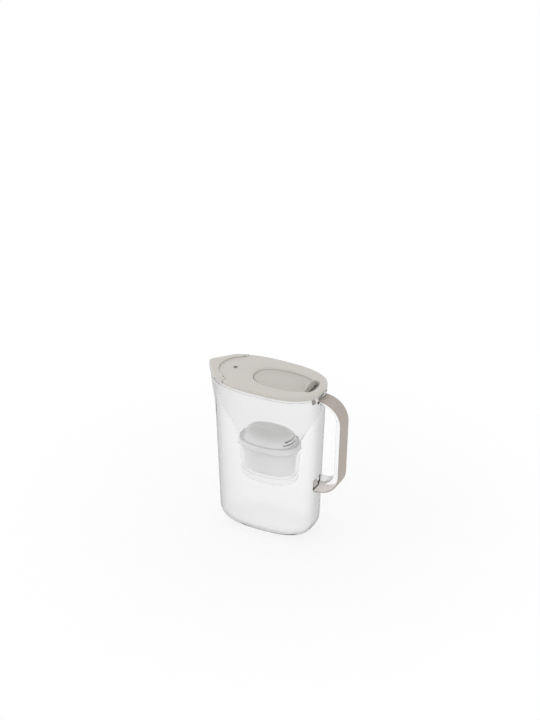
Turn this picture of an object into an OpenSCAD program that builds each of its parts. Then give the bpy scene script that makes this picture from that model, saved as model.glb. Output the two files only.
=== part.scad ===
// Table water filter: clear jug with a handle, hanging funnel, oval filter cartridge and a
// lid with a flip-up fill flap, a spout visor and a clip-in light indicator.
// Millimetres. The jug stands on z = 0, its spout points to -X and its handle to +X.

/* [Jug] */
// Length of the oval rim, spout and handle left out
rim_len = 175; // [160:1:190]
// Width of the oval rim
rim_wid = 100; // [92:1:108]
// Length of the oval base before its edge is rounded
base_len = 153; // [143:1:163]
// Width of the oval base before its edge is rounded
base_wid = 92; // [84:1:99]
// Height of the rim above the table
jug_h = 249; // [235:1:270]
// Wall of the jug
jug_wall = 2.8; // [2.2:0.1:3.4]
// Thickness of the jug's floor
floor_t = 5; // [3:0.5:8]
// Radius of the rounded edge under the jug
base_round = 26; // [18:1:30]
// Squareness of every oval: 2 is an ellipse, more is squarer
oval_power = 2.65; // [2.3:0.05:3]

/* [Rim collar] */
// Height of the thicker collar under the rim
collar_h = 6.4; // [5:0.2:8]
// How far the collar stands proud of the wall
collar_step = 1.2; // [0.8:0.1:1.6]
// Wall of the collar above the ledge
collar_wall = 2.4; // [2:0.1:2.8]
// Depth of the funnel's ledge below the rim
ledge_drop = 5; // [4:0.2:6]

/* [Spout] */
// How far the spout's flanks would meet past the end of the oval
spout_reach = 14.7; // [10:0.5:18]
// Height over which the spout fades into the wall
spout_depth = 125; // [90:5:150]
// Radius of the spout's rounded tip
spout_tip_r = 6; // [4.5:0.5:8]

/* [Handle] */
// How far the grip stands out past the rim
handle_reach = 37.5; // [32:0.5:42]
// Width of the handle
handle_wid = 26; // [22:1:30]
// Drop of the handle's top below the rim
handle_drop = 6.5; // [6.4:0.1:10]
// Depth below the rim where the upright stretch ends
handle_upright = 131; // [122:1:138]
// Radius of the handle's upper bend
handle_top_r = 38; // [30:1:40]
// Radius of the handle's lower bend
handle_low_r = 34; // [28:1:38]
// Fall of the lower arm towards the wall, in degrees
handle_fall = 13; // [5:1:18]
// Lean of the upright towards the jug, in degrees
handle_lean = 1.8; // [0:0.2:4]
// Depth of the finger gap's top below the rim
gap_top = 14; // [13:0.5:18]
// Depth of the finger gap's bottom below the rim
gap_low = 148; // [140:1:152]
// Thickness of the whole handle beside the finger gap
handle_t = 9.2; // [7:0.2:12]
// Thickness of the soft grip band
grip_t = 2.5; // [1.6:0.1:3.5]

/* [Funnel] */
// Wall of the funnel
funnel_wall = 2; // [1.6:0.1:2.6]
// Depth of the funnel's lowest edge below the rim
funnel_depth = 171; // [166:1:178]
// Depth of the cartridge seat below the rim
seat_depth = 110; // [106:1:114]
// Depth below the rim where the bell ends
bell_depth = 100; // [92:1:102]
// How far the cartridge well stands in from the seat
well_inset = 2.6; // [2:0.2:3.4]
// Side of the outlet opening in the funnel's floor
outlet_side = 15; // [10:1:20]
// Gap between the funnel's flange and the collar
flange_gap = 0.4; // [0.3:0.05:0.6]
// Gap between the bell's top and the jug's wall
bell_gap = 0.6; // [0.4:0.1:1.2]

/* [Cartridge] */
// Length of the cartridge's flange
cart_len = 96; // [90:1:100]
// Width of the cartridge's flange
cart_wid = 62; // [58:1:66]
// Height of the flange
cart_flange_h = 10; // [7:0.5:11]
// Height of the body below the flange
cart_body_h = 44; // [38:1:46]
// How far the body stands in from the flange
cart_inset = 6; // [4:0.2:7]
// Height of the domed cap above the flange
cart_cap_h = 17; // [14:1:22]
// Wall of the cartridge's cup and cap
cart_wall = 1.5; // [1.2:0.1:2]
// Gap around the cartridge in its seat
cart_gap = 0.4; // [0.3:0.05:0.8]

/* [Lid] */
// Height of the lid's side wall
lid_h = 7; // [6:0.5:9]
// Thickness of the lid's plate
lid_t = 2.6; // [2.2:0.1:3]
// How far the lid stands out past the jug's rim
lid_over = 0.5; // [0:0.1:1]
// Wall of the lid's skirt
skirt_wall = 3; // [2.6:0.1:3.4]
// Radius of the lid's upper edge
lid_round = 2.6; // [1.5:0.1:3.5]
// Depth of the locating ring below the rim
plug_h = 3.5; // [2:0.5:5]
// Gap between the locating ring and the funnel
plug_gap = 0.5; // [0.4:0.1:1]
// Reach of the two hooks below the rim
hook_h = 16; // [11:0.5:18]

/* [Fill flap] */
// Length of the recess that the flap lies in
fill_len = 95; // [88:1:98]
// Width of the recess
fill_wid = 55; // [48:1:60]
// Distance of the recess's middle from the jug's middle
fill_x = 23; // [20:0.5:25]
// Depth of the flap's face below the lid's face
flap_sink = 2.5; // [1.5:0.1:3]
// Thickness of the flap
flap_t = 2.2; // [1.8:0.1:2.6]
// Gap around the flap
flap_gap = 0.8; // [0.7:0.05:1]
// Height of the thumb fin above the flap
fin_h = 8.5; // [6:0.5:9.5]
// Width of the thumb fin
fin_wid = 30; // [24:1:32]
// Diameter of the flap's hinge pins
flap_pin_d = 3; // [2.4:0.1:3.2]

/* [Spout visor] */
// Radius of the visor's inner arc
visor_r = 37; // [34:0.5:39]
// Distance of the arc's centre from the jug's middle
visor_x = 44; // [42:0.5:46]
// Distance of the visor's hinge from the jug's middle
visor_hinge_x = 58; // [56:0.5:60]
// How far the visor stands above the lid's face
visor_rise = 3; // [1.5:0.5:3.5]
// Diameter of the visor's hinge pins
visor_pin_d = 2.5; // [2:0.1:2.8]

/* [Indicator] */
// Diameter of the light indicator
puck_d = 31.5; // [28:0.5:33]
// Height of the light indicator
puck_h = 18.7; // [17:0.1:21]
// Distance of the indicator from the jug's middle
puck_x = 57.5; // [55:0.5:59]
// Depth of the socket that holds it under the lid
socket_h = 8; // [6:0.5:10]
// Diameter of the light window in the lid
window_d = 7; // [5:0.2:9]
// Diameter of the reset button
button_d = 7; // [5:0.5:8]
// Diameter of the coin cell
cell_d = 20; // [16:1:22]
// Thickness of the coin cell
cell_t = 3.2; // [2:0.1:3.6]

/* [Hidden] */

jug_n = 64;      // points round the jug and the lid
funnel_n = 48;   // points round the funnel
cart_n = 32;     // points round the cartridge
crowd = 20;      // degrees by which points gather towards the spout's tip
fit = 0.08;      // radial clearance of a pin or puck that turns or slides
touch = 0.05;    // clearance of pieces that are pressed or laid together
cut = 1;         // how far a cutting shape runs past what it cuts

// ---- heights of the main planes ----
collar_z = jug_h - collar_h;
ledge_z = jug_h - ledge_drop;
flange_top = jug_h - 0.6;
seat_z = jug_h - seat_depth;
bell_z = jug_h - bell_depth;
cart_top = seat_z + cart_flange_h;
cart_low = seat_z - cart_body_h;
well_top = cart_low - 2;
well_low = well_top - funnel_wall;
funnel_low = jug_h - funnel_depth;
lip_r = well_low - funnel_low;
lid_top = jug_h + lid_h;
lid_under = lid_top - lid_t;
plug_low = jug_h - plug_h;
flap_top = lid_top - flap_sink;
flap_low = flap_top - flap_t;
tray_low = flap_low - 2;

// ================= shared shapes =================

// Smooth rise from 0 to 1
function ease(u) = u * u * (3 - 2 * u);

// Polar angles of n points round an oval, gathered towards the spout by bunch degrees
function fan(n, bunch = 0) = [
    for (i = [0:n - 1])
        let (w = 360 * i / n + bunch * sin(360 * i / n))
            atan2(rim_wid * sin(w), rim_len * cos(w))
];

// Radius of an oval of half-length a and half-width b at polar angle t
function oval_r(t, a, b, p = oval_power) =
    pow(pow(abs(cos(t)) / a, p) + pow(abs(sin(t)) / b, p), -1 / p);

// Radius of the same oval with a spout at -X: its flanks are tangents of the oval that would
// meet at a + reach, and its tip is rounded with radius r
function spout_r(t, a, b, reach, r) =
    let (
        s = 180 - abs(t),
        q = oval_power / (oval_power - 1),
        apex = a + reach,
        slant = atan(pow(pow(apex, q) - pow(a, q), 1 / q) / b),
        h = apex * cos(slant),
        leave = atan2(b * pow(b * sin(slant) / h, q - 1), a * pow(a * cos(slant) / h, q - 1)),
        c = apex - r / cos(slant),
        round_end = atan2(r * sin(slant), c + r * cos(slant))
    )
    s < round_end ? c * cos(s) + sqrt(max(0, r * r - pow(c * sin(s), 2)))
    : s < leave ? h / cos(s - slant)
    : oval_r(t, a, b);

function oval_ring(angles, a, b, z, p = oval_power, x = 0) = [
    for (t = angles) let (r = oval_r(t, a, b, p)) [x + r * cos(t), r * sin(t), z]
];

function spout_ring(angles, a, b, reach, r, z) = [
    for (t = angles) let (d = spout_r(t, a, b, reach, r)) [d * cos(t), d * sin(t), z]
];

// The rim's outline drawn in by inset
function rim_ring(inset, z, angles = fan(jug_n, crowd)) =
    spout_ring(angles, rim_len / 2 - inset, rim_wid / 2 - inset, spout_reach,
               max(1, spout_tip_r - inset), z);

function flat(ring) = [for (p = ring) [p.x, p.y]];

// Cap faces of ring j of n points: one flat face, or for a ribbon a strip across its two edges
function cap_faces(j, n, ribbon) =
    ribbon ? [for (i = [0:n / 2 - 2]) [j * n + i, j * n + i + 1, j * n + n - 2 - i, j * n + n - 1 - i]]
    : [[for (i = [0:n - 1]) j * n + i]];

function flipped(faces) = [for (f = faces) [for (i = [len(f) - 1:-1:0]) f[i]]];

// Skin over rings of equal counts, capped at both ends, or closed on itself as a loop.
// A ribbon's rings run along one of its edges and back along the other.
module skin(rings, loop = false, ribbon = false) {
    m = len(rings);
    n = len(rings[0]);
    polyhedron(
        [for (r = rings) each r],
        concat(
            [
                for (j = [0:m - (loop ? 1 : 2)], i = [0:n - 1])
                    let (k = (i + 1) % n, up = (j + 1) % m)
                        each [[j * n + i, up * n + i, up * n + k], [j * n + i, up * n + k, j * n + k]]
            ],
            loop ? [] : concat(cap_faces(0, n, ribbon), flipped(cap_faces(m - 1, n, ribbon)))
        )
    );
}

// Straight prism of an oval
module oval_prism(a, b, low, high, p = oval_power, x = 0, n = cart_n) {
    translate([0, 0, low])
        linear_extrude(high - low)
            polygon(flat(oval_ring(fan(n), a, b, 0, p, x)));
}

module block(low, high) {
    translate(low) cube(high - low);
}

// Round bar along Y between two Y values
module bar_y(x, z, r, from, to) {
    translate([x, from, z]) rotate([-90, 0, 0]) cylinder(r = r, h = to - from, $fn = 48);
}

module both_sides() {
    children();
    mirror([0, 1, 0]) children();
}

// ================= jug =================

// Half-length and half-width of the jug's outer wall at height z
function wall_a(z) = base_len / 2 + (rim_len / 2 - collar_step - base_len / 2) * z / collar_z;
function wall_b(z) = base_wid / 2 + (rim_wid / 2 - collar_step - base_wid / 2) * z / collar_z;

// How far the spout reaches at height z
function spout_at(z) = spout_reach * pow(1 - pow(min(1, (jug_h - z) / spout_depth), 2), 2);

function wall_ring(z, inset, r) =
    spout_ring(fan(jug_n, crowd), wall_a(z) - inset, wall_b(z) - inset, spout_at(z), r, z);

spout_steps = [for (k = [0:6]) jug_h - spout_depth + (spout_depth - collar_h) * k / 6];
inner_round = base_round - jug_wall;

module jug_shell() {
    inner_steps = [for (k = [6:-1:0]) jug_h - spout_depth + (spout_depth - ledge_drop) * k / 6];
    inner_tip = max(1, spout_tip_r - jug_wall);
    skin(concat(
        [
            for (t = [0:18:90])
                wall_ring(base_round * (1 - cos(t)), base_round * (1 - sin(t)), spout_tip_r)
        ],
        [for (z = spout_steps) wall_ring(z, 0, spout_tip_r)],
        [
            rim_ring(0, collar_z + collar_step / 2),
            rim_ring(0, jug_h - 0.5),
            rim_ring(0.5, jug_h),
            rim_ring(collar_wall - 0.4, jug_h),
            rim_ring(collar_wall, jug_h - 0.4),
            rim_ring(collar_wall, ledge_z),
        ],
        [for (z = inner_steps) wall_ring(z, jug_wall, inner_tip)],
        [
            for (t = [90:-22.5:0])
                wall_ring(floor_t + inner_round * (1 - cos(t)),
                          jug_wall + inner_round * (1 - sin(t)), inner_tip)
        ]
    ));
}

// ================= handle =================

grip_x = rim_len / 2 + handle_reach;
handle_z = jug_h - handle_drop;
bend_z = jug_h - handle_upright;
gap_x = grip_x - handle_t;
top_corner_step = 14; // how much tighter the gap's upper corner is than the handle's
low_corner_step = 12; // how much tighter the gap's lower corner is than the handle's
gap_top_r = handle_top_r - top_corner_step;
gap_low_r = handle_low_r - low_corner_step;
bend_steps = 9;
root_drop = 18; // depth below the gap where the lower arm meets the wall
root_z = jug_h - gap_low - root_drop;
root_sink = 0.7 * jug_wall;
grip_gap = 0.3;

// Point of the handle moved towards the jug by the upright's lean
function leaned(x, z) = [x - (handle_z - z) * tan(handle_lean), z];

// Outer line of the handle in X and Z, drawn in by o, from x_top at the rim to x_low below
function handle_line(o, x_top, x_low) =
    let (
        turn = 90 - handle_fall,
        end = leaned(grip_x - handle_low_r + (handle_low_r - o) * cos(turn),
                     bend_z - (handle_low_r - o) * sin(turn))
    )
    concat(
        [[x_top, handle_z - o]],
        [
            for (k = [0:bend_steps - 1])
                let (t = 90 - 90 * k / (bend_steps - 1))
                    leaned(grip_x - handle_top_r + (handle_top_r - o) * cos(t),
                           handle_z - handle_top_r + (handle_top_r - o) * sin(t))
        ],
        [
            for (k = [0:bend_steps - 1])
                let (t = -turn * k / (bend_steps - 1))
                    leaned(grip_x - handle_low_r + (handle_low_r - o) * cos(t),
                           bend_z + (handle_low_r - o) * sin(t))
        ],
        [[x_low, end.y - (end.x - x_low) * tan(handle_fall)]]
    );

// Line of the finger gap in X and Z, let out by o, from the wall below to the wall above
function gap_line(o, x_low, x_top) =
    concat(
        [[x_low, jug_h - gap_low - o]],
        [
            for (k = [0:bend_steps - 1])
                let (t = -90 + 90 * k / (bend_steps - 1))
                    leaned(gap_x - gap_low_r + (gap_low_r + o) * cos(t),
                           jug_h - gap_low + gap_low_r + (gap_low_r + o) * sin(t))
        ],
        [
            for (k = [0:bend_steps - 1])
                let (t = 90 * k / (bend_steps - 1))
                    leaned(gap_x - gap_top_r + (gap_top_r + o) * cos(t),
                           jug_h - gap_top - gap_top_r + (gap_top_r + o) * sin(t))
        ],
        [[x_top, jug_h - gap_top + o]]
    );

function stand(line, y) = [for (p = line) [p.x, y, p.y]];

module handle_core() {
    half = handle_wid / 2 - 0.6;
    edge = 1.5;
    root_top = wall_a(handle_z) - root_sink;
    root_low = wall_a(root_z) - root_sink;
    skin([
        for (k = [[-half, edge], [-half + 0.5, 0.5], [-half + edge, 0],
                  [half - edge, 0], [half - 0.5, 0.5], [half, edge]])
            stand(concat(handle_line(grip_t, root_top, root_low),
                         gap_line(k[1], root_low, root_top)), k[0])
    ], ribbon = true);
}

module jug() {
    // one moulding, so the jug and the core of its handle come out as one mesh
    color([0.86, 0.89, 0.9, 0.35])
        resize([0, 0, jug_h])
            union() {
                jug_shell();
                handle_core();
            }
}

module handle_grip() {
    half = handle_wid / 2;
    edge = min(1.4, grip_t * 0.6);
    x_top = wall_a(handle_z) + grip_gap;
    x_low = wall_a(root_z) + grip_gap;
    color("#aaa298")
        skin([
            for (k = [[-half, edge], [-half + edge * 0.3, edge * 0.3], [-half + edge, 0],
                      [half - edge, 0], [half - edge * 0.3, edge * 0.3], [half, edge]])
                let (inner = handle_line(grip_t, x_top, x_low), n = len(inner))
                    stand(concat(handle_line(k[1], x_top, x_low),
                                 [for (i = [n - 1:-1:0]) inner[i]]), k[0])
        ], ribbon = true);
}

// ================= funnel =================

cart_power = 2.4;
cart_a = cart_len / 2;
cart_b = cart_wid / 2;
bell_a = wall_a(ledge_z) - jug_wall - bell_gap;
bell_b = wall_b(ledge_z) - jug_wall - bell_gap;
flange_inset = collar_wall + flange_gap;
pocket = cart_gap + funnel_wall;

// Share of the bell's narrowing done at height z: slow at the rim, then a long S
function bell(z) =
    let (u = (ledge_z - z) / (ledge_z - bell_z))
        0.15 * u + 0.85 * ease(pow(u, 1.6));

// Squareness goes from the rim's to the cartridge's
function bell_ring(z, inset) =
    let (w = bell(z))
        oval_ring(fan(funnel_n),
                  bell_a + (cart_a + pocket - bell_a) * w - inset,
                  bell_b + (cart_b + pocket - bell_b) * w - inset,
                  z, oval_power + (cart_power - oval_power) * w);

// Ring of the cartridge well, let out by grow and tapered like the cartridge's body
cart_taper = 0.05;
function well_ring(z, grow, n = funnel_n) =
    let (g = grow - well_inset - cart_taper * (seat_z - z))
        oval_ring(fan(n), cart_a + g, cart_b + g, z, cart_power);

function seat_ring(z, grow) =
    oval_ring(fan(funnel_n), cart_a + grow, cart_b + grow, z, cart_power);

module funnel() {
    bell_steps = [for (k = [0:9]) bell_z + (ledge_z - bell_z) * k / 9];
    lip_end = 20;
    outlet = oval_ring(fan(funnel_n), outlet_side / 2, outlet_side / 2, 0, 5);
    color([0.86, 0.89, 0.9, 0.35])
        skin(concat(
            [[for (p = outlet) [p.x, p.y, well_low]]],
            [
                for (t = [90:-17.5:lip_end])
                    well_ring(well_low - (lip_r - funnel_wall) * cos(t),
                              -(lip_r - funnel_wall) * (1 - sin(t)))
            ],
            [
                for (t = [lip_end:17.5:90])
                    well_ring(well_low - lip_r * cos(t), funnel_wall - lip_r * (1 - sin(t)))
            ],
            [
                well_ring((well_low + seat_z) / 2, funnel_wall),
                well_ring(seat_z - 6, funnel_wall),
                seat_ring(seat_z - 3, pocket - 2.1),
                seat_ring(seat_z, pocket - 0.6),
            ],
            [for (z = bell_steps) bell_ring(z, 0)],
            [
                oval_ring(fan(funnel_n), rim_len / 2 - flange_inset, rim_wid / 2 - flange_inset, ledge_z),
                oval_ring(fan(funnel_n), rim_len / 2 - flange_inset, rim_wid / 2 - flange_inset,
                          flange_top - 0.4),
                oval_ring(fan(funnel_n), rim_len / 2 - flange_inset - 0.4,
                          rim_wid / 2 - flange_inset - 0.4, flange_top),
                oval_ring(fan(funnel_n), bell_a - 0.3, bell_b - 0.3, flange_top),
            ],
            [for (k = [9:-1:0]) bell_ring(bell_steps[k], funnel_wall)],
            [seat_ring(seat_z, cart_gap), well_ring(seat_z, 0)],
            [
                well_ring(well_top + 4, 0),
                well_ring(well_top + 1, -1),
                well_ring(well_top, -4),
            ],
            [[for (p = outlet) [p.x, p.y, well_top]]]
        ), loop = true);
}

// ================= cartridge =================

drain_a = 14;
drain_b = 7;
media_low = cart_low + cart_wall + 0.8;
mouth_lip = 1.6;
mouth_inset = cart_inset + cart_wall + mouth_lip;
mouth_a = cart_a - mouth_inset;
mouth_b = cart_b - mouth_inset;

// Ring of the cartridge's body, let out by grow
function body_ring(z, grow) = well_ring(z, grow + well_inset - cart_inset, cart_n);

module cartridge_body() {
    round_low = 7;
    band = 0.45 * cart_flange_h;
    drain = oval_ring(fan(cart_n), drain_a, drain_b, 0, cart_power);
    flange = [
        for (k = [[0, 0], [band - 0.6, 0], [band - 0.2, -0.5], [band + 0.2, -0.5], [band + 0.6, 0],
                  [cart_flange_h - 1.4, 0], [cart_flange_h - 0.4, -0.6], [cart_flange_h, -1.6]])
            oval_ring(fan(cart_n), cart_a + k[1], cart_b + k[1], seat_z + k[0], cart_power)
    ];
    color("#f4f5f6")
        skin(concat(
            [[for (p = drain) [p.x, p.y, cart_low]]],
            [
                for (t = [0:22.5:90])
                    body_ring(cart_low + round_low * (1 - cos(t)), -round_low * (1 - sin(t)))
            ],
            [
                body_ring(seat_z - 6, 0),
                body_ring(seat_z - 5, 0.6),
                body_ring(seat_z, 0.6),
            ],
            flange,
            [
                oval_ring(fan(cart_n), mouth_a, mouth_b, cart_top, cart_power),
                oval_ring(fan(cart_n), mouth_a, mouth_b, cart_top - 2.6, cart_power),
                body_ring(cart_top - 2.6 - mouth_lip, -cart_wall),
                body_ring(cart_low + round_low, -cart_wall),
                body_ring(cart_low + cart_wall + 1.5, -cart_wall - 3),
                body_ring(cart_low + cart_wall, -round_low),
            ],
            [[for (p = drain) [p.x, p.y, cart_low + cart_wall]]]
        ), loop = true);
}

cap_a = mouth_a + cart_wall;
cap_step = 3; // ledge left beside the cap on the flange
cap_b = cart_b - cap_step;
ridge_a = 24;
ridge_b = 7.5;

// Height and plan of the domed cap: t runs from 0 at the flange to 90 on top
function cap_ring(t, thin) =
    let (drop = pow(cos(t), 0.9))
        oval_ring(fan(cart_n),
                  ridge_a - thin + (cap_a - ridge_a) * drop,
                  ridge_b - thin + (cap_b - ridge_b) * drop,
                  cart_top + (cart_cap_h - thin) * sin(t), cart_power);

module cartridge_cap() {
    louvre_h = 2;
    pad_x = 15;
    color("#f4f5f6") {
        difference() {
            skin([for (t = [0:15:90]) cap_ring(t, 0)]);
            translate([0, 0, -0.01])
                skin([for (t = [0:15:90]) cap_ring(t, cart_wall)]);
            // inlet louvres at both ends
            for (side = [-1, 1], level = [0, 1])
                translate([side * (cap_a - 2), 0, cart_top + 0.23 * cart_cap_h * (1 + 1.2 * level)])
                    cube([26, 38 - 8 * level, louvre_h], center = true);
        }
        // two pads on the ridge
        for (side = [-1, 1])
            translate([side * pad_x, 0, cart_top + cart_cap_h - 0.5])
                cylinder(d1 = 7, d2 = 5.6, h = 1.3, $fn = 32);
    }
}

module cartridge_media() {
    slack = 0.2;
    color("#3f4142")
        skin(concat(
            [
                for (k = [[media_low, -9], [media_low + 1.5, -cart_wall - 4],
                          [cart_low + 7, -cart_wall - slack],
                          [cart_top - 2.8 - mouth_lip, -cart_wall - slack]])
                    body_ring(k[0], k[1])
            ],
            [
                for (z = [cart_top - 2.7, cart_top - 1.7])
                    oval_ring(fan(cart_n), mouth_a - slack, mouth_b - slack, z, cart_power)
            ]
        ));
}

// Oval plate with round holes in rows
module sieve(a, b, low, high, pitch, hole) {
    rows = floor((b - hole) / pitch);
    difference() {
        oval_prism(a, b, low, high, cart_power);
        for (j = [-rows:rows]) {
            span = a * pow(1 - pow(abs(j * pitch) / b, cart_power), 1 / cart_power) - hole;
            count = floor(span / pitch);
            for (i = [-count:count])
                translate([i * pitch, j * pitch, low - cut])
                    cylinder(d = hole, h = high - low + 2 * cut, $fn = 24);
        }
    }
}

module inlet_screen() {
    color("#dfe2e4") sieve(mouth_a - 0.1, mouth_b - 0.1, cart_top - 1.5, cart_top - 0.1, 9, 4);
}

module outlet_screen() {
    color("#dfe2e4")
        sieve(drain_a + 4, drain_b + 4, cart_low + cart_wall, media_low, 5, 2.4);
}

// ================= lid =================

lid_a = rim_len / 2 + lid_over;
lid_b = rim_wid / 2 + lid_over;
visor_hinge_z = lid_top - 2;
knuckle_r = 2.8;
visor_end = visor_hinge_x - knuckle_r;
plug_a = bell_a - funnel_wall - plug_gap;
plug_b = bell_b - funnel_wall - plug_gap;
plug_wall = 1.8;
tray_wall = 2;
fill_a = fill_len / 2;
fill_b = fill_wid / 2;
fill_power = 2.4;
bevel_h = 2.2;
bevel_w = 2.8;
fin_t = 2.8;
flap_end = fill_x + fill_a - 4;
hinge_x = flap_end - fin_t / 2;
hinge_z = flap_top - 3;
barrel_r = 2.2;
fin_sweep = norm([flap_end - hinge_x, flap_top + fin_h - hinge_z]);
well_x = hinge_x + fin_sweep + 1.2;
well_y = fin_wid / 2 + 4.2;
well_front = hinge_x - 5;
well_floor = hinge_z - 6;
well_wall = 1.6;
lug_y = well_y + 4.5;
socket_r = puck_d / 2 + 0.1;
socket_wall = 1.7;
visor_arc_gap = 0.3;
visor_lug_half = 3;
visor_lug_y = sqrt(pow(visor_r - visor_arc_gap, 2)
                   - pow(visor_hinge_x + visor_lug_half - visor_x, 2)) - 0.1;
horn_y = sqrt(pow(visor_r, 2) - pow(visor_end - visor_x, 2)) + 0.2;
hook_back = 3.2; // how far the hooks stand in from the locating ring
hook_x = plug_a - hook_back;
hook_foot = 1.4;
hook_y = 6;
hook_wid = 7;
hook_t = 2;

// The visor falls from its tip to the knuckles of its hinge
lid_tip = spout_r(180, lid_a, lid_b, spout_reach, spout_tip_r + lid_over);
visor_tilt = (lid_top + visor_rise - visor_hinge_z - knuckle_r) / (lid_tip - visor_hinge_x);

function tilted(ring, tilt) = [for (p = ring) [p.x, p.y, p.z - tilt * (p.x + lid_tip)]];

// Side wall and rounded edge of the lid's or the visor's outline up to height top at its tip
module capped_outline(low, top, tilt = 0) {
    skin([
        for (ring = concat(
            [rim_ring(-lid_over + 0.4, low), rim_ring(-lid_over, low + 0.4)],
            [
                for (t = [0:22.5:90])
                    rim_ring(-lid_over + lid_round * (1 - cos(t)), top - lid_round * (1 - sin(t)))
            ]
        )) tilted(ring, tilt)
    ]);
}

// Plan of the lid's end outside the visor's arc, up to end_x and let out by g at the arc
module visor_zone(end_x, g) {
    difference() {
        translate([-2 * lid_a, -2 * lid_b])
            square([2 * lid_a + end_x, 4 * lid_b]);
        translate([-visor_x, 0]) circle(r = visor_r - g, $fn = 96);
    }
}

// Plan of the locating ring, drawn in by w
module plug_plan(w) {
    difference() {
        polygon(flat(oval_ring(fan(jug_n), plug_a - w, plug_b - w, 0)));
        visor_zone(0.9 + w - visor_end, 0.9 + w);
    }
}

// Thumb well behind the fin, let out by grow
module thumb_well(grow, low, high) {
    translate([0, 0, low])
        linear_extrude(high - low)
            intersection() {
                polygon(flat(oval_ring(fan(jug_n), well_x - hinge_x + grow, well_y + grow, 0, 2.5,
                                       hinge_x)));
                translate([well_front - grow, -lid_b]) square([lid_a, 2 * lid_b]);
            }
}

module lid() {
    color("#c8c5be")
        difference() {
            union() {
                difference() {
                    capped_outline(jug_h, lid_top);
                    // hollow underside
                    translate([0, 0, jug_h - cut])
                        linear_extrude(lid_h - lid_t + cut)
                            polygon(flat(rim_ring(skirt_wall - lid_over, 0)));
                    // the visor's place
                    translate([0, 0, jug_h - cut])
                        linear_extrude(lid_h + 2 * cut)
                            visor_zone(0.3 - visor_end, visor_arc_gap);
                }
                // locating ring inside the funnel
                translate([0, 0, plug_low])
                    linear_extrude(lid_under - plug_low + 0.1)
                        difference() {
                            plug_plan(0);
                            plug_plan(plug_wall);
                        }
                // tray under the flap
                oval_prism(fill_a + tray_wall, fill_b + tray_wall, tray_low, lid_under + 0.1,
                           fill_power, fill_x, jug_n);
                // walls of the thumb well and lugs of the flap's hinge
                thumb_well(well_wall, well_floor - well_wall, lid_under + 0.1);
                block([hinge_x - 4, -lug_y, hinge_z - 4], [hinge_x + 4, lug_y, lid_under]);
                // socket of the light indicator
                translate([-puck_x, 0, lid_under - socket_h])
                    cylinder(r = socket_r + socket_wall, h = socket_h + 0.1, $fn = 96);
                // lugs of the visor's hinge
                both_sides()
                    block([-visor_hinge_x - visor_lug_half, visor_lug_y - 5, visor_hinge_z - 3.2],
                          [-visor_hinge_x + visor_lug_half, visor_lug_y, lid_under + 0.1]);
                // hooks at the handle's end
                both_sides() {
                    block([hook_x - hook_t, hook_y, jug_h - hook_h],
                          [hook_x, hook_y + hook_wid, lid_under + 0.1]);
                    translate([hook_x, hook_y + hook_wid, jug_h - hook_h])
                        rotate([90, 0, 0])
                            linear_extrude(hook_wid)
                                polygon([[-0.1, 0], [hook_foot - 0.4, 0], [hook_foot, 0.4],
                                         [hook_foot, 1.2], [-0.1, 1.2 + 2 * hook_foot]]);
                }
            }
            // recess with a bevelled edge
            skin([
                oval_ring(fan(jug_n), fill_a, fill_b, flap_low, fill_power, fill_x),
                oval_ring(fan(jug_n), fill_a, fill_b, lid_top - bevel_h, fill_power, fill_x),
                oval_ring(fan(jug_n), fill_a + bevel_w, fill_b + bevel_w, lid_top + 0.01, fill_power,
                          fill_x),
            ]);
            // fill opening through the tray
            oval_prism(fill_a - 13, fill_b - 5.5, tray_low - cut, flap_low + cut, fill_power, fill_x - 9.5,
                       jug_n);
            // thumb well
            thumb_well(0, well_floor, lid_top + cut);
            // bores of the flap's hinge
            bar_y(hinge_x, hinge_z, flap_pin_d / 2 + fit, -lug_y + 0.6, lug_y - 0.6);
            // socket bore and window
            translate([-puck_x, 0, lid_under - socket_h - cut])
                cylinder(r = socket_r, h = socket_h + cut, $fn = 96);
            translate([-puck_x, 0, lid_under - cut])
                cylinder(d = window_d, h = lid_t + 2 * cut, $fn = 48);
            // bores of the visor's hinge
            both_sides()
                bar_y(-visor_hinge_x, visor_hinge_z, visor_pin_d / 2 + fit,
                      visor_lug_y - 4, horn_y + cut);
        }
}

module led_window() {
    color("#4a443e")
        translate([-puck_x, 0, lid_under])
            cylinder(d = window_d - 2 * touch, h = lid_t - 0.2, $fn = 48);
}

module fill_flap() {
    a = fill_a - flap_gap;
    b = fill_b - flap_gap;
    color("#bfbcb5") {
        // leaf of the flap, as wide as the well at its hinge and cut straight under the fin
        translate([0, 0, flap_low + 0.05])
            linear_extrude(flap_t - 0.05)
                intersection() {
                    union() {
                        polygon(flat(oval_ring(fan(jug_n), a, b, 0, fill_power, fill_x)));
                        translate([well_front + flap_gap, flap_gap - well_y])
                            square([flap_end, 2 * (well_y - flap_gap)]);
                    }
                    translate([-2 * a, -b]) square([flap_end + 2 * a, 2 * b]);
                }
        // half-moon thumb fin
        translate([flap_end - fin_t, 0, flap_top - 0.1])
            rotate([90, 0, 90])
                linear_extrude(fin_t)
                    intersection() {
                        scale([fin_wid / 2 / (fin_h + 0.1), 1]) circle(r = fin_h + 0.1, $fn = 64);
                        translate([-fin_wid, 0]) square([2 * fin_wid, 2 * fin_h]);
                    }
        // hinge barrel with its stub pins
        bar_y(hinge_x, hinge_z, barrel_r, -well_y + 0.4, well_y - 0.4);
        bar_y(hinge_x, hinge_z, flap_pin_d / 2, -lug_y + 1, lug_y - 1);
    }
}

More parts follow.
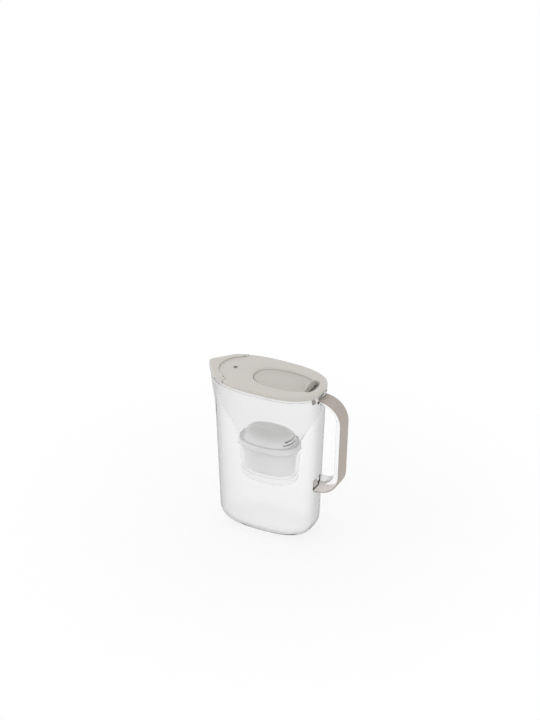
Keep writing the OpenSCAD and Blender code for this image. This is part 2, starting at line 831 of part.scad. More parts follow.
module spout_visor() {
    low = jug_h + 0.2;
    high = lid_top + visor_rise;
    visor_wall = 2.2;
    visor_roof = 2.4;
    visor_swing = visor_lug_half + 1.4;
    horn_end = lid_b * pow(1 - pow(visor_hinge_x / lid_a, oval_power), 1 / oval_power);
    color("#c8c5be") {
        difference() {
            intersection() {
                capped_outline(low, high, visor_tilt);
                translate([0, 0, low])
                    linear_extrude(high - low + cut)
                        difference() {
                            visor_zone(-visor_hinge_x, 0);
                            // room beside the lid's lugs
                            translate([-visor_hinge_x - visor_swing, -horn_y])
                                square([visor_swing + cut, 2 * horn_y]);
                        }
            }
            // hollow underside
            intersection() {
                skin([for (z = [low - cut, high - visor_roof])
                    tilted(rim_ring(visor_wall, z), visor_tilt)]);
                translate([0, 0, low - cut])
                    linear_extrude(high - low + cut)
                        difference() {
                            translate([-2 * lid_a, -2 * lid_b])
                                square([2 * lid_a - visor_hinge_x - 6, 4 * lid_b]);
                            translate([-visor_x, 0]) circle(r = visor_r + 2, $fn = 96);
                        }
            }
        }
        // knuckles and stub pins
        both_sides() {
            bar_y(-visor_hinge_x, visor_hinge_z, knuckle_r, horn_y, horn_end - 1);
            bar_y(-visor_hinge_x, visor_hinge_z, visor_pin_d / 2, visor_lug_y - 3.6, horn_y + 1);
        }
    }
}

// ================= light indicator =================

puck_top = lid_under - 0.2;
puck_low = puck_top - puck_h;
puck_r = puck_d / 2;
puck_wall = 1.4;
dish_r = 9.5;
dish_deep = 1.2;
roof_t = 1.6;
board_z = puck_top - 8;
board_t = 1.2;
board_r = puck_r - puck_wall - 0.1;
base_t = 3;
base_r = puck_r - puck_wall - touch;
button_r = button_d / 2;
button_travel = 0.8;
cell_z = puck_low + base_t;
seal_r = 0.5;

module puck_part() {
    translate([-puck_x, 0, 0]) children();
}

module indicator_housing() {
    roof_low = puck_top - dish_deep - roof_t;
    color("#f2f3f4")
        puck_part()
            difference() {
                rotate_extrude($fn = 96)
                    polygon([
                        [button_r + fit, puck_top - dish_deep],
                        [dish_r - 0.6, puck_top - dish_deep],
                        [dish_r, puck_top - dish_deep + 0.4],
                        [dish_r, puck_top - 0.3],
                        [dish_r + 0.3, puck_top],
                        for (t = [90:-15:0])
                            [puck_r - 2 + 2 * cos(t), puck_top - 2 + 2 * sin(t)],
                        [puck_r, puck_low + 0.8],
                        [puck_r - 0.8, puck_low],
                        [puck_r - puck_wall, puck_low],
                        [puck_r - puck_wall, board_z + 0.05],
                        [puck_r - puck_wall - 1.4, board_z + 0.05],
                        [puck_r - puck_wall - 1.4, roof_low],
                        [button_r + fit, roof_low],
                    ]);
            }
}

module indicator_button() {
    // translucent plunger with a flange that stays under the roof
    roof_low = puck_top - dish_deep - roof_t;
    color("#5b544d")
        puck_part()
            rotate_extrude($fn = 64)
                polygon([
                    [0, roof_low - 1.4],
                    [button_r + 1.4, roof_low - 1.4],
                    [button_r + 1.4, roof_low - touch],
                    [button_r, roof_low - touch],
                    [button_r, puck_top - dish_deep + 0.2],
                    [button_r - 0.4, puck_top - dish_deep + 0.6],
                    [0, puck_top - dish_deep + 0.7],
                ]);
}

dome_low = board_z;
button_low = puck_top - dish_deep - roof_t - 1.4;

module snap_dome() {
    // shallow steel dome that pushes the button back
    high = button_low - button_travel - 0.3 - dome_low;
    color("#b9bcc0")
        puck_part()
            translate([0, 0, dome_low])
                rotate_extrude($fn = 64)
                    polygon([
                        [0, high - 0.2],
                        [2.2, high * 0.75 - 0.2],
                        [3.6, 0],
                        [4.2, 0],
                        [4.2, 0.2],
                        [3.7, 0.25],
                        [2.2, high * 0.75],
                        [0, high],
                    ]);
}

module indicator_board() {
    color("#2f6b4a")
        puck_part()
            translate([0, 0, board_z - board_t])
                cylinder(r = board_r, h = board_t, $fn = 64);
}

module status_led() {
    color("#e9e6d2")
        puck_part()
            translate([-7.5, -1.4, board_z]) {
                cube([2, 2.8, 0.8]);
                translate([0.4, 0.4, 0]) cube([1.2, 2, 1.1]);
            }
}

module indicator_battery() {
    color("#c6c8ca")
        puck_part() {
            translate([0, 0, cell_z + 0.05])
                cylinder(d = cell_d, h = cell_t - 0.7, $fn = 64);
            translate([0, 0, cell_z + cell_t - 0.7])
                cylinder(d = cell_d - 3, h = 0.7, $fn = 64);
        }
}

module battery_contact() {
    // bent strip that presses on the cell and is soldered under the board
    top = board_z - board_t;
    low = cell_z + cell_t;
    color("#cdb98a")
        puck_part()
            translate([0, 2.5, 0])
                rotate([90, 0, 0])
                    linear_extrude(5)
                        polygon([
                            [-6, top], [6, top], [6, top - 0.3], [-4.2, top - 0.3],
                            [-0.4, low + 0.25], [2, low + 0.25], [2, low], [-0.6, low],
                            [-4.6, top - 0.3], [-6, top - 0.3],
                        ]);
}

module indicator_base() {
    seal_z = puck_low + base_t / 2;
    color("#e7e9ea")
        puck_part()
            difference() {
                translate([0, 0, puck_low])
                    cylinder(r = base_r, h = base_t, $fn = 96);
                translate([0, 0, seal_z])
                    rotate_extrude($fn = 96)
                        translate([base_r - 2 * seal_r, -0.7]) square([2, 1.4]);
                // coin slot
                translate([-7, -0.9, puck_low - cut]) cube([14, 1.8, 1 + cut]);
            }
}

module indicator_seal() {
    color("#2b2c2d")
        puck_part()
            translate([0, 0, puck_low + base_t / 2])
                rotate_extrude($fn = 96)
                    translate([base_r - seal_r, 0]) circle(r = seal_r, $fn = 24);
}

jug();
handle_grip();
funnel();
cartridge_body();
cartridge_cap();
cartridge_media();
inlet_screen();
outlet_screen();
lid();
led_window();
fill_flap();
spout_visor();
indicator_housing();
indicator_base();
indicator_seal();
indicator_board();
status_led();
snap_dome();
indicator_battery();
battery_contact();
indicator_button();
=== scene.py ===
import math
import bmesh
import bpy
import numpy as np
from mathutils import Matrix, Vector


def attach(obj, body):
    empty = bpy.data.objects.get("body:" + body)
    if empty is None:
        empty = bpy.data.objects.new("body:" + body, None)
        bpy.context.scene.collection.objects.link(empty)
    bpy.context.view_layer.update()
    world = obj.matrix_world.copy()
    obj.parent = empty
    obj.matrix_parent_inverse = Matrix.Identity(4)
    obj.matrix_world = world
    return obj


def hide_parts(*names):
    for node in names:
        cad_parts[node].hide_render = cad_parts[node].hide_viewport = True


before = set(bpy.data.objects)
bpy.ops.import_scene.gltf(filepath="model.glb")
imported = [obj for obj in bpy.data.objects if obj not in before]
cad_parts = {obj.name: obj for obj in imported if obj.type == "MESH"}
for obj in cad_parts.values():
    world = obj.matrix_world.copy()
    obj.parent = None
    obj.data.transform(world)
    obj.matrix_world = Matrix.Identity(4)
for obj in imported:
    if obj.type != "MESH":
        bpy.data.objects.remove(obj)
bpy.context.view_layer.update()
scene = bpy.context.scene
metre = 0.001       # shapes are worked out in millimetres, meshes hold metres
print("frame loaded")


# Outline maths, as in the part's source

def ease(u):
    return u * u * (3 - 2 * u)


def steps(start, end, count):
    return [float(v) for v in np.linspace(start, end, count)]


def fullTurn(count):
    return np.linspace(0, 2 * math.pi, count, endpoint=False)


def rounding(radius, count):
    # a rounded edge, as distances from the two sides of the square corner
    return [(radius * (1 - math.cos(t)), radius * (1 - math.sin(t))) for t in steps(0, math.pi / 2, count)]


jug = {
    "rimLength": 175, "rimWidth": 100, "baseLength": 153, "baseWidth": 92, "height": 249,
    "wall": 2.8, "floor": 5, "baseRound": 26, "squareness": 2.65,
    "collarHeight": 6.4, "collarStep": 1.2, "collarWall": 2.4, "ledgeDrop": 5,
    "spoutReach": 14.7, "spoutDepth": 125, "spoutTip": 6, "around": 256, "crowd": 20,
}
rimZ = jug["height"]
collarZ = rimZ - jug["collarHeight"]
ledgeZ = rimZ - jug["ledgeDrop"]
halfRim = jug["rimLength"] / 2, jug["rimWidth"] / 2


def fan(count, crowd=0.0):
    w = fullTurn(count)
    w = w + math.radians(crowd) * np.sin(w)
    return np.arctan2(jug["rimWidth"] * np.sin(w), jug["rimLength"] * np.cos(w))


def ovalRadius(t, a, b, power):
    return ((np.abs(np.cos(t)) / a) ** power + (np.abs(np.sin(t)) / b) ** power) ** (-1 / power)


def spoutRadius(t, a, b, reach, tip):
    power = jug["squareness"]
    q = power / (power - 1)
    s = math.pi - np.abs(t)
    apex = a + reach
    slant = math.atan((apex ** q - a ** q) ** (1 / q) / b)
    h = apex * math.cos(slant)
    leave = math.atan2(b * (b * math.sin(slant) / h) ** (q - 1), a * (a * math.cos(slant) / h) ** (q - 1))
    c = apex - tip / math.cos(slant)
    roundEnd = math.atan2(tip * math.sin(slant), c + tip * math.cos(slant))
    tipRadius = c * np.cos(s) + np.sqrt(np.maximum(0, tip * tip - (c * np.sin(s)) ** 2))
    flank = h / np.cos(np.minimum(s, leave) - slant)
    return np.where(s < roundEnd, tipRadius, np.where(s < leave, flank, ovalRadius(t, a, b, power)))


def polarRing(t, radius, z, x=0.0):
    return np.stack([x + radius * np.cos(t), radius * np.sin(t), np.full(len(t), float(z))], 1)


def ovalRing(t, a, b, z, power, x=0.0):
    return polarRing(t, ovalRadius(t, a, b, power), z, x)


jugFan = fan(jug["around"], jug["crowd"])


def rimRing(inset, z, t=jugFan):
    tip = max(1, jug["spoutTip"] - inset)
    return polarRing(t, spoutRadius(t, halfRim[0] - inset, halfRim[1] - inset, jug["spoutReach"], tip), z)


def wallHalf(z):
    share = z / collarZ
    a, b = jug["baseLength"] / 2, jug["baseWidth"] / 2
    return (a + (halfRim[0] - jug["collarStep"] - a) * share,
            b + (halfRim[1] - jug["collarStep"] - b) * share)


def wallRing(z, inset, tip):
    a, b = wallHalf(z)
    reach = jug["spoutReach"] * (1 - min(1, (rimZ - z) / jug["spoutDepth"]) ** 2) ** 2
    return polarRing(jugFan, spoutRadius(jugFan, a - inset, b - inset, reach, tip), z)


# Meshes

def meshOf(name, points, faces):
    mesh = bpy.data.meshes.new(name)
    mesh.from_pydata([tuple(p) for p in np.asarray(points, float) * metre], [], faces)
    mesh.validate()
    co = np.array([v.co for v in mesh.vertices])
    mesh.calc_loop_triangles()
    volume = 0.0
    for tri in mesh.loop_triangles:
        p, q, r = (co[i] for i in tri.vertices)
        volume += np.dot(p, np.cross(q, r))
    if volume < 0:
        mesh.flip_normals()
    return mesh


def skin(name, rings, loop=False, strip=False):
    m, n = len(rings), len(rings[0])
    faces = []
    for j in range(m if loop else m - 1):
        up = (j + 1) % m
        for i in range(n):
            k = (i + 1) % n
            faces.append((j * n + i, j * n + k, up * n + k, up * n + i))
    if strip:
        for i in range(n // 2 - 1):
            low = (i, n - 1 - i, n - 2 - i, i + 1)
            faces.append(low)
            faces.append(tuple((m - 1) * n + v for v in reversed(low)))
    elif not loop:
        faces.append(tuple(range(n - 1, -1, -1)))
        faces.append(tuple((m - 1) * n + i for i in range(n)))
    return meshOf(name, np.concatenate(rings), faces)


def prism(outline, low, high, name="prism"):
    flatRing = np.asarray(outline, float)[:, :2]
    rings = [np.column_stack([flatRing, np.full(len(flatRing), z)]) for z in (low, high)]
    return skin(name, rings)


def block(low, high):
    (x0, y0, z0), (x1, y1, z1) = low, high
    return prism([(x0, y0), (x1, y0), (x1, y1), (x0, y1)], z0, z1, "block")


def barY(x, z, radius, start, end, round=0.0, count=48):
    w = fullTurn(count)
    profile = [(start, radius - round), (end, radius - round)]
    if round:
        profile[1:1] = [(start + round, radius), (end - round, radius)]
    rings = [np.stack([x + r * np.cos(w), np.full(count, float(y)), z + r * np.sin(w)], 1)
             for y, r in profile]
    return skin("bar", rings)


def circle(x, radius, count=192):
    w = fullTurn(count)
    return np.stack([x + radius * np.cos(w), radius * np.sin(w)], 1)


def disc(x, radius, low, high):
    return prism(circle(x, radius, 96), low, high, "disc")


def lathe(name, profile, x=0.0, count=128):
    # profile: closed run of (radius, z); a radius of 0 closes on the axis
    w = fullTurn(count)
    points, faces, rows = [], [], []
    for radius, z in profile:
        if radius < 1e-6:
            rows.append([len(points)] * count)
            points.append((x, 0, z))
        else:
            rows.append(list(range(len(points), len(points) + count)))
            points += [(x + radius * math.cos(a), radius * math.sin(a), z) for a in w]
    for j in range(len(rows)):
        a, b = rows[j], rows[(j + 1) % len(rows)]
        for i in range(count):
            k = (i + 1) % count
            loopIds = []
            for v in (a[i], a[k], b[k], b[i]):
                if v not in loopIds:
                    loopIds.append(v)
            if len(loopIds) > 2:
                faces.append(tuple(loopIds))
    return meshOf(name, points, faces)


def temporary(mesh):
    obj = bpy.data.objects.new(mesh.name, mesh)
    scene.collection.objects.link(obj)
    return obj


def flattened(obj):
    # the object's evaluated mesh as a plain one, with its modifiers gone
    graph = bpy.context.evaluated_depsgraph_get()
    graph.update()
    made = bpy.data.meshes.new_from_object(obj.evaluated_get(graph))
    obj.modifiers.clear()
    obj.data = made
    return obj


def combine(base, others, operation):
    obj = temporary(base)
    tools = []
    for mesh in others:
        tool = temporary(mesh)
        tools.append(tool)
        step = obj.modifiers.new("join", "BOOLEAN")
        step.operation = operation
        step.solver = "EXACT"
        step.object = tool
    flattened(obj)
    for tool in tools:
        bpy.data.objects.remove(tool)
    mesh = obj.data
    bpy.data.objects.remove(obj)
    return mesh


def union(base, *others):
    return combine(base, others, "UNION")


def cut(base, *others):
    return combine(base, others, "DIFFERENCE")


def meet(base, *others):
    return combine(base, others, "INTERSECT")


def joined(base, *others):
    # closed shells in one mesh, not merged, so that light passes from one into the next
    shape = bmesh.new()
    for mesh in (base, *others):
        shape.from_mesh(mesh)
    shape.to_mesh(base)
    shape.free()
    return base


def makeObject(name, mesh, body, look, nodes=(), sharp=32.0, bevel=0.0, bevelFrom=38.0):
    # sharp and bevelFrom are in degrees
    obj = temporary(mesh)
    obj.name = name
    if bevel:
        step = obj.modifiers.new("softEdge", "BEVEL")
        step.width = bevel * metre
        step.segments = 2
        step.limit_method = "ANGLE"
        step.angle_limit = math.radians(bevelFrom)
        step.harden_normals = False
        flattened(obj)
    obj.data.materials.clear()
    obj.data.materials.append(materials[look])
    obj.data.shade_smooth()
    obj.data.set_sharp_from_angle(angle=math.radians(sharp))
    obj.data.name = name
    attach(obj, body)
    if nodes:
        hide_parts(*nodes)
    return obj


# Materials

def linear(hexText):
    values = [int(hexText[i:i + 2], 16) / 255 for i in (0, 2, 4)]
    return tuple(v / 12.92 if v <= 0.04045 else ((v + 0.055) / 1.055) ** 2.4 for v in values) + (1.0,)


def feed(tree, node, inputs):
    # each input gets a plain value, or a link from the socket that is given for it
    for label, value in inputs.items():
        if isinstance(value, bpy.types.NodeSocket):
            tree.links.new(value, node.inputs[label])
        else:
            node.inputs[label].default_value = value


def addNode(tree, kind, inputs=None, **settings):
    node = tree.nodes.new(kind)
    for label, value in settings.items():
        setattr(node, label, value)
    feed(tree, node, inputs or {})
    return node


def mathNode(tree, operation, *values):
    return addNode(tree, "ShaderNodeMath", dict(enumerate(values)), operation=operation).outputs[0]


def mapRange(tree, value, low, high, newLow=0.0, newHigh=1.0, kind="LINEAR"):
    inputs = {"Value": value, "From Min": low, "From Max": high, "To Min": newLow, "To Max": newHigh}
    return addNode(tree, "ShaderNodeMapRange", inputs, interpolation_type=kind).outputs["Result"]


def blend(tree, share, first, second, kind="RGBA"):
    inputs = {"Factor": share, "A": first, "B": second}
    return addNode(tree, "ShaderNodeMix", inputs, data_type=kind).outputs["Result"]


def mixShaders(tree, share, first, second):
    mixed = addNode(tree, "ShaderNodeMixShader", {"Fac": share, 1: first, 2: second})
    feed(tree, tree.nodes["Material Output"], {"Surface": mixed.outputs["Shader"]})


def groupTree(name, sockets):
    tree = bpy.data.node_groups.new(name, "ShaderNodeTree")
    for label, kind, direction, value in sockets:
        socket = tree.interface.new_socket(label, in_out=direction, socket_type="NodeSocket" + kind)
        if value is not None:
            socket.default_value = value
    return tree, addNode(tree, "NodeGroupInput").outputs, addNode(tree, "NodeGroupOutput")


surface = {
    "cloudScale": 38.0, "cloudRange": (0.3, 0.7), "edgeRange": (0.52, 0.6), "polish": 0.12,
    "grainBump": 0.0001, "smearRange": (0.5, 0.75), "waveScale": 14.0, "waveBump": 0.001,
}


def mouldedSkin():
    # fine moulding grain, faint cloudiness of the colour and a painted highlight: convex edges made lighter
    tree, given, result = groupTree("mouldedSkin", [
        ("Color", "Color", "INPUT", (0.8, 0.8, 0.8, 1)),
        ("Cloud", "Float", "INPUT", 0.04),
        ("Grain Scale", "Float", "INPUT", 1500.0),
        ("Grain Depth", "Float", "INPUT", 0.1),
        ("Roughness", "Float", "INPUT", 0.4),
        ("Edge Highlight", "Float", "INPUT", 0.1),
        ("Color", "Color", "OUTPUT", None),
        ("Roughness", "Float", "OUTPUT", None),
        ("Normal", "Vector", "OUTPUT", None),
    ])
    place = addNode(tree, "ShaderNodeTexCoord").outputs["Object"]
    cloud = addNode(tree, "ShaderNodeTexNoise", {
        "Vector": place, "Scale": surface["cloudScale"], "Detail": 4.0})
    shade = mapRange(tree, cloud.outputs["Fac"], *surface["cloudRange"], -0.5, 0.5)
    amount = mathNode(tree, "MULTIPLY_ADD", shade, given["Cloud"], 1.0)
    tinted = addNode(tree, "ShaderNodeVectorMath", {
        "Vector": given["Color"], "Scale": amount}, operation="SCALE")
    # painted highlight: convex edges, found by pointiness, are blended towards white
    pointiness = addNode(tree, "ShaderNodeNewGeometry").outputs["Pointiness"]
    edgeHighlight = mathNode(tree, "MULTIPLY", mapRange(tree, pointiness, *surface["edgeRange"]), given["Edge Highlight"])
    grain = addNode(tree, "ShaderNodeTexNoise", {
        "Vector": place, "Scale": given["Grain Scale"], "Detail": 2.0})
    bump = addNode(tree, "ShaderNodeBump", {
        "Distance": surface["grainBump"], "Strength": given["Grain Depth"], "Height": grain.outputs["Fac"]})
    feed(tree, result, {
        "Color": blend(tree, edgeHighlight, tinted.outputs["Vector"], (1, 1, 1, 1)),
        "Roughness": mathNode(tree, "MULTIPLY_ADD", shade, surface["polish"], given["Roughness"]),
        "Normal": bump.outputs["Normal"]})
    return tree


def handledGloss():
    # gloss that handling has dulled: soft smears as a roughness, and a faint wave of the wall
    tree, given, result = groupTree("handledGloss", [
        ("Clean", "Float", "INPUT", 0.01),
        ("Smear", "Float", "INPUT", 0.06),
        ("Scale", "Float", "INPUT", 26.0),
        ("Roughness", "Float", "OUTPUT", None),
        ("Height", "Float", "OUTPUT", None),
    ])
    place = addNode(tree, "ShaderNodeTexCoord").outputs["Object"]
    smear = addNode(tree, "ShaderNodeTexNoise", {
        "Vector": place, "Scale": given["Scale"], "Detail": 3.0, "Distortion": 0.6})
    mask = mapRange(tree, smear.outputs["Fac"], *surface["smearRange"])
    wave = addNode(tree, "ShaderNodeTexNoise", {"Vector": place, "Scale": surface["waveScale"]})
    feed(tree, result, {
        "Roughness": mathNode(tree, "MULTIPLY_ADD", mask, given["Smear"], given["Clean"]),
        "Height": wave.outputs["Fac"]})
    return tree


skinGroup = mouldedSkin()
glossGroup = handledGloss()


def newMaterial(name):
    material = bpy.data.materials.new(name)
    material.use_nodes = True
    return material, material.node_tree, material.node_tree.nodes["Principled BSDF"]


# edgeHighlight is the strength of the painted highlight on convex edges
plainLook = {"cloud": 0.04, "depth": 0.1, "edgeHighlight": 0.08, "metal": 0.0, "ior": 1.48}


def moulded(name, ownLook):
    look = plainLook | ownLook
    material, tree, shader = newMaterial(name)
    group = addNode(tree, "ShaderNodeGroup", {
        "Color": linear(look["color"]), "Cloud": look["cloud"], "Grain Scale": look["grain"],
        "Grain Depth": look["depth"], "Roughness": look["rough"], "Edge Highlight": look["edgeHighlight"]}, node_tree=skinGroup)
    feed(tree, shader, {
        "Base Color": group.outputs["Color"], "Roughness": group.outputs["Roughness"],
        "Normal": group.outputs["Normal"], "IOR": look["ior"], "Metallic": look["metal"]})
    return material


def clearPlastic(name, look):
    # clear moulding; shadow rays pass it, so what stands inside and behind stays lit
    material, tree, shader = newMaterial(name)
    gloss = addNode(tree, "ShaderNodeGroup", {
        "Clean": look["clean"], "Smear": look["smear"], "Scale": look["scale"]}, node_tree=glossGroup)
    bump = addNode(tree, "ShaderNodeBump", {
        "Strength": look["wave"], "Distance": surface["waveBump"], "Height": gloss.outputs["Height"]})
    # painted shade: for camera rays the base colour turns grey towards glancing edges, standing in for the
    # darker surroundings seen in and through the plastic
    facing = addNode(tree, "ShaderNodeLayerWeight", {"Blend": 0.5}).outputs["Facing"]
    edge = mapRange(tree, facing, look["edgeShadeFrom"], 1.0, kind="SMOOTHSTEP")
    path = addNode(tree, "ShaderNodeLightPath").outputs
    cameraEdgeShade = mathNode(tree, "MULTIPLY", edge, path["Is Camera Ray"])
    feed(tree, shader, {
        "Base Color": blend(tree, cameraEdgeShade, linear(look["color"]), linear(look["edgeShadeColor"])),
        "Roughness": gloss.outputs["Roughness"], "Normal": bump.outputs["Normal"],
        "IOR": look["ior"], "Transmission Weight": 1.0})
    passing = addNode(tree, "ShaderNodeBsdfTransparent", {"Color": linear(look["shadow"])})
    mixShaders(tree, path["Is Shadow Ray"], shader.outputs["BSDF"], passing.outputs["BSDF"])
    return material


# edgeShadeColor and edgeShadeFrom set the painted grey shade at the clear plastics' glancing edges
looks = {
    "jugPlastic": {"color": "fcfcfc", "edgeShadeColor": "707070", "edgeShadeFrom": 0.12, "ior": 1.1, "clean": 0.0,
                   "smear": 0.05, "scale": 26.0, "wave": 0.02, "shadow": "f8f8f8"},
    "funnelPlastic": {"color": "fafafa", "edgeShadeColor": "787878", "edgeShadeFrom": 0.12, "ior": 1.09, "clean": 0.01,
                      "smear": 0.06, "scale": 34.0, "wave": 0.02, "shadow": "f8f8f8"},
    "gripLiner": {"color": "f8f1ee", "rough": 0.5, "grain": 1800.0},
    "softTouch": {"color": "b0a79f", "rough": 0.62, "grain": 2600.0,
                  "depth": 0.35, "cloud": 0.05, "edgeHighlight": 0.05},
    "stonePlastic": {"color": "c8c5be", "rough": 0.42, "grain": 2200.0, "depth": 0.16, "cloud": 0.03},
    # painted shade: the flap's material is the lid's stone colour made darker
    "shadedFlapStone": {"color": "bfbcb5", "rough": 0.45, "grain": 2200.0, "depth": 0.16, "cloud": 0.03},
    "whitePlastic": {"color": "f9f9f9", "rough": 0.33, "grain": 1400.0, "depth": 0.06, "cloud": 0.02},
    "cupPlastic": {"color": "fbfbfb", "rough": 0.36, "grain": 1400.0, "depth": 0.08, "cloud": 0.03},
    "meshPlastic": {"color": "dfe2e4", "rough": 0.5, "grain": 900.0, "depth": 0.2, "cloud": 0.06},
    "carbonGranules": {"color": "3f4142", "rough": 0.85, "grain": 700.0,
                       "depth": 1.0, "cloud": 0.6, "edgeHighlight": 0.0},
    "smokedLens": {"color": "4a443e", "rough": 0.12, "grain": 900.0, "depth": 0.02, "cloud": 0.05},
    "sealRubber": {"color": "2b2c2d", "rough": 0.7, "grain": 1800.0, "depth": 0.3, "cloud": 0.1, "edgeHighlight": 0.0},
    "circuitBoard": {"color": "2f6b4a", "rough": 0.4, "grain": 600.0,
                     "depth": 0.3, "cloud": 0.5, "edgeHighlight": 0.0},
    "ledBody": {"color": "e9e6d2", "rough": 0.3, "grain": 900.0, "depth": 0.05, "cloud": 0.08},
    "springSteel": {"color": "b9bcc0", "rough": 0.28, "grain": 3000.0,
                    "depth": 0.2, "cloud": 0.1, "metal": 1.0},
    "cellSteel": {"color": "c6c8ca", "rough": 0.25, "grain": 2600.0,
                  "depth": 0.2, "cloud": 0.08, "metal": 1.0},
    "contactBrass": {"color": "cdb98a", "rough": 0.3, "grain": 2600.0,
                     "depth": 0.2, "cloud": 0.1, "metal": 1.0},
}
materials = {}
for name, look in looks.items():
    materials[name] = clearPlastic(name, look) if "shadow" in look else moulded(name, look)
print("materials built")


# Jug with the clear core of its handle

handle = {
    "reach": 37.5, "width": 26, "drop": 6.5, "upright": 131, "topRadius": 38, "lowRadius": 34, "fall": 13,
    "lean": 1.8, "gapTop": 14, "gapLow": 148, "thick": 9.2, "gripThick": 2.5, "liner": 0.6, "bendSteps": 22,
    "gapTopRadius": 24, "gapLowRadius": 22, "edge": 1.5, "rootDrop": 18, "coreInset": 0.6,
    "linerInset": 1.4, "bandEdge": 0.9, "linerEdge": 0.2, "pathStep": 2.5, "wallReach": (2, 14),
    "rootInto": 0.7, "gripGap": 0.3,
}
gripX = halfRim[0] + handle["reach"]
handleZ = rimZ - handle["drop"]
bendZ = rimZ - handle["upright"]
gapX = gripX - handle["thick"]
rootLowZ = rimZ - handle["gapLow"] - handle["rootDrop"]
fallSlope = math.tan(math.radians(handle["fall"]))
leanSlope = math.tan(math.radians(handle["lean"]))


def arc(x, z, radius, start, end, count):
    # arc of the handle's line, moved towards the jug by the upright's lean
    turned = [(x + radius * math.cos(math.radians(t)), z + radius * math.sin(math.radians(t)))
              for t in steps(start, end, count)]
    return [(px - (handleZ - pz) * leanSlope, pz) for px, pz in turned]


def handleLine(inset, xTop, xLow):
    count = handle["bendSteps"]
    top, low, turn = handle["topRadius"], handle["lowRadius"], 90 - handle["fall"]
    line = [(xTop, handleZ - inset)]
    line += arc(gripX - top, handleZ - top, top - inset, 90, 0, count)
    line += arc(gripX - low, bendZ, low - inset, 0, -turn, count)
    endX, endZ = line[-1]
    line.append((xLow, endZ - (endX - xLow) * fallSlope))
    return line


def gapLine(grow, xLow, xTop):
    count = handle["bendSteps"]
    top, low = handle["gapTopRadius"], handle["gapLowRadius"]
    line = [(xLow, rimZ - handle["gapLow"] - grow)]
    line += arc(gapX - low, rimZ - handle["gapLow"] + low, low + grow, -90, 0, count)
    line += arc(gapX - top, rimZ - handle["gapTop"] - top, top + grow, 0, 90, count)
    line.append((xTop, rimZ - handle["gapTop"] + grow))
    return line


def handleCore():
    half, edge = handle["width"] / 2 - handle["coreInset"], handle["edge"]
    xTop, xLow = (wallHalf(z)[0] - handle["rootInto"] * jug["wall"] for z in (handleZ, rootLowZ))
    bends = [(inward - half, grow) for grow, inward in reversed(rounding(edge, 7))]
    rings = []
    for y, grow in bends + [(-y, g) for y, g in reversed(bends)]:
        line = handleLine(handle["gripThick"], xTop, xLow) + gapLine(grow, xLow, xTop)
        rings.append(np.array([(x, y, z) for x, z in line]))
    return skin("handleCore", rings, strip=True)


def jugShell():
    baseRound, wall = jug["baseRound"], jug["wall"]
    innerRound = baseRound - wall
    tip = jug["spoutTip"]
    innerTip = max(1, tip - wall)
    rings = [wallRing(rise, inset, tip) for rise, inset in rounding(baseRound, 14)]
    spoutLow = rimZ - jug["spoutDepth"]
    rings += [wallRing(z, 0, tip) for z in steps(baseRound, spoutLow, 6)[1:]]
    rings += [wallRing(z, 0, tip) for z in steps(spoutLow, collarZ - 0.5, 26)[1:]]
    step, collarWall = jug["collarStep"], jug["collarWall"]
    rings += [rimRing(step * share, collarZ + z) for share, z in
              ((0.98, -0.1), (0.85, 0.12), (0.6, 0.25), (0.3, 0.42), (0.08, 0.68), (0, 1.1))]
    soft = 0.8
    rings += [rimRing(inset, rimZ - drop) for inset, drop in rounding(soft, 6)]
    rings += [rimRing(collarWall - inset, rimZ - drop) for inset, drop in reversed(rounding(soft, 6))]
    rings += [rimRing(collarWall, ledgeZ + 0.35), rimRing(collarWall + 0.1, ledgeZ + 0.1),
              rimRing(collarWall + 0.35, ledgeZ)]
    rings += [wallRing(ledgeZ, wall - 0.3, innerTip), wallRing(ledgeZ - 0.3, wall, innerTip)]
    rings += [wallRing(z, wall, innerTip) for z in steps(ledgeZ - 1.5, spoutLow, 26)]
    rings += [wallRing(z, wall, innerTip) for z in steps(spoutLow, jug["floor"] + innerRound, 6)[1:-1]]
    rings += [wallRing(jug["floor"] + rise, wall + inset, innerTip)
              for rise, inset in reversed(rounding(innerRound, 14))]
    return skin("jugShell", rings)


makeObject("jugBody", joined(jugShell(), handleCore()), "jug", "jugPlastic",
           ["jug"], sharp=30)
print("jug built")


# Soft grip band round the handle, from a path by Geometry Nodes

def gripTree():
    tree = bpy.data.node_groups.new("gripBand", "GeometryNodeTree")
    tree.interface.new_socket("Geometry", in_out="OUTPUT", socket_type="NodeSocketGeometry")
    for label, kind in (("Geometry", "Geometry"), ("Width", "Float"), ("Thickness", "Float"),
                        ("Edge Radius", "Float"), ("Material", "Material")):
        tree.interface.new_socket(label, in_out="INPUT", socket_type="NodeSocket" + kind)
    given = addNode(tree, "NodeGroupInput").outputs
    path = addNode(tree, "GeometryNodeMeshToCurve", {"Mesh": given["Geometry"]})
    profile = addNode(tree, "GeometryNodeCurvePrimitiveQuadrilateral", {
        "Width": given["Width"], "Height": given["Thickness"]})
    rounded = addNode(tree, "GeometryNodeFilletCurve", {
        "Curve": profile.outputs["Curve"], "Radius": given["Edge Radius"], "Count": 6}, mode="POLY")
    swept = addNode(tree, "GeometryNodeCurveToMesh", {
        "Curve": path.outputs["Curve"], "Profile Curve": rounded.outputs["Curve"], "Fill Caps": True})
    whole = addNode(tree, "GeometryNodeRealizeInstances", {"Geometry": swept.outputs["Mesh"]})
    painted = addNode(tree, "GeometryNodeSetMaterial", {
        "Geometry": whole.outputs["Geometry"], "Material": given["Material"]})
    addNode(tree, "NodeGroupOutput", {"Geometry": painted.outputs["Geometry"]})
    return tree


def runTree(name, mesh, tree, values):
    obj = temporary(mesh)
    step = obj.modifiers.new(name, "NODES")
    step.node_group = tree
    for item in tree.interface.items_tree:
        if item.in_out == "INPUT" and item.name in values:
            step[item.identifier] = values[item.name]
    flattened(obj)
    made = obj.data
    bpy.data.objects.remove(obj)
    return made


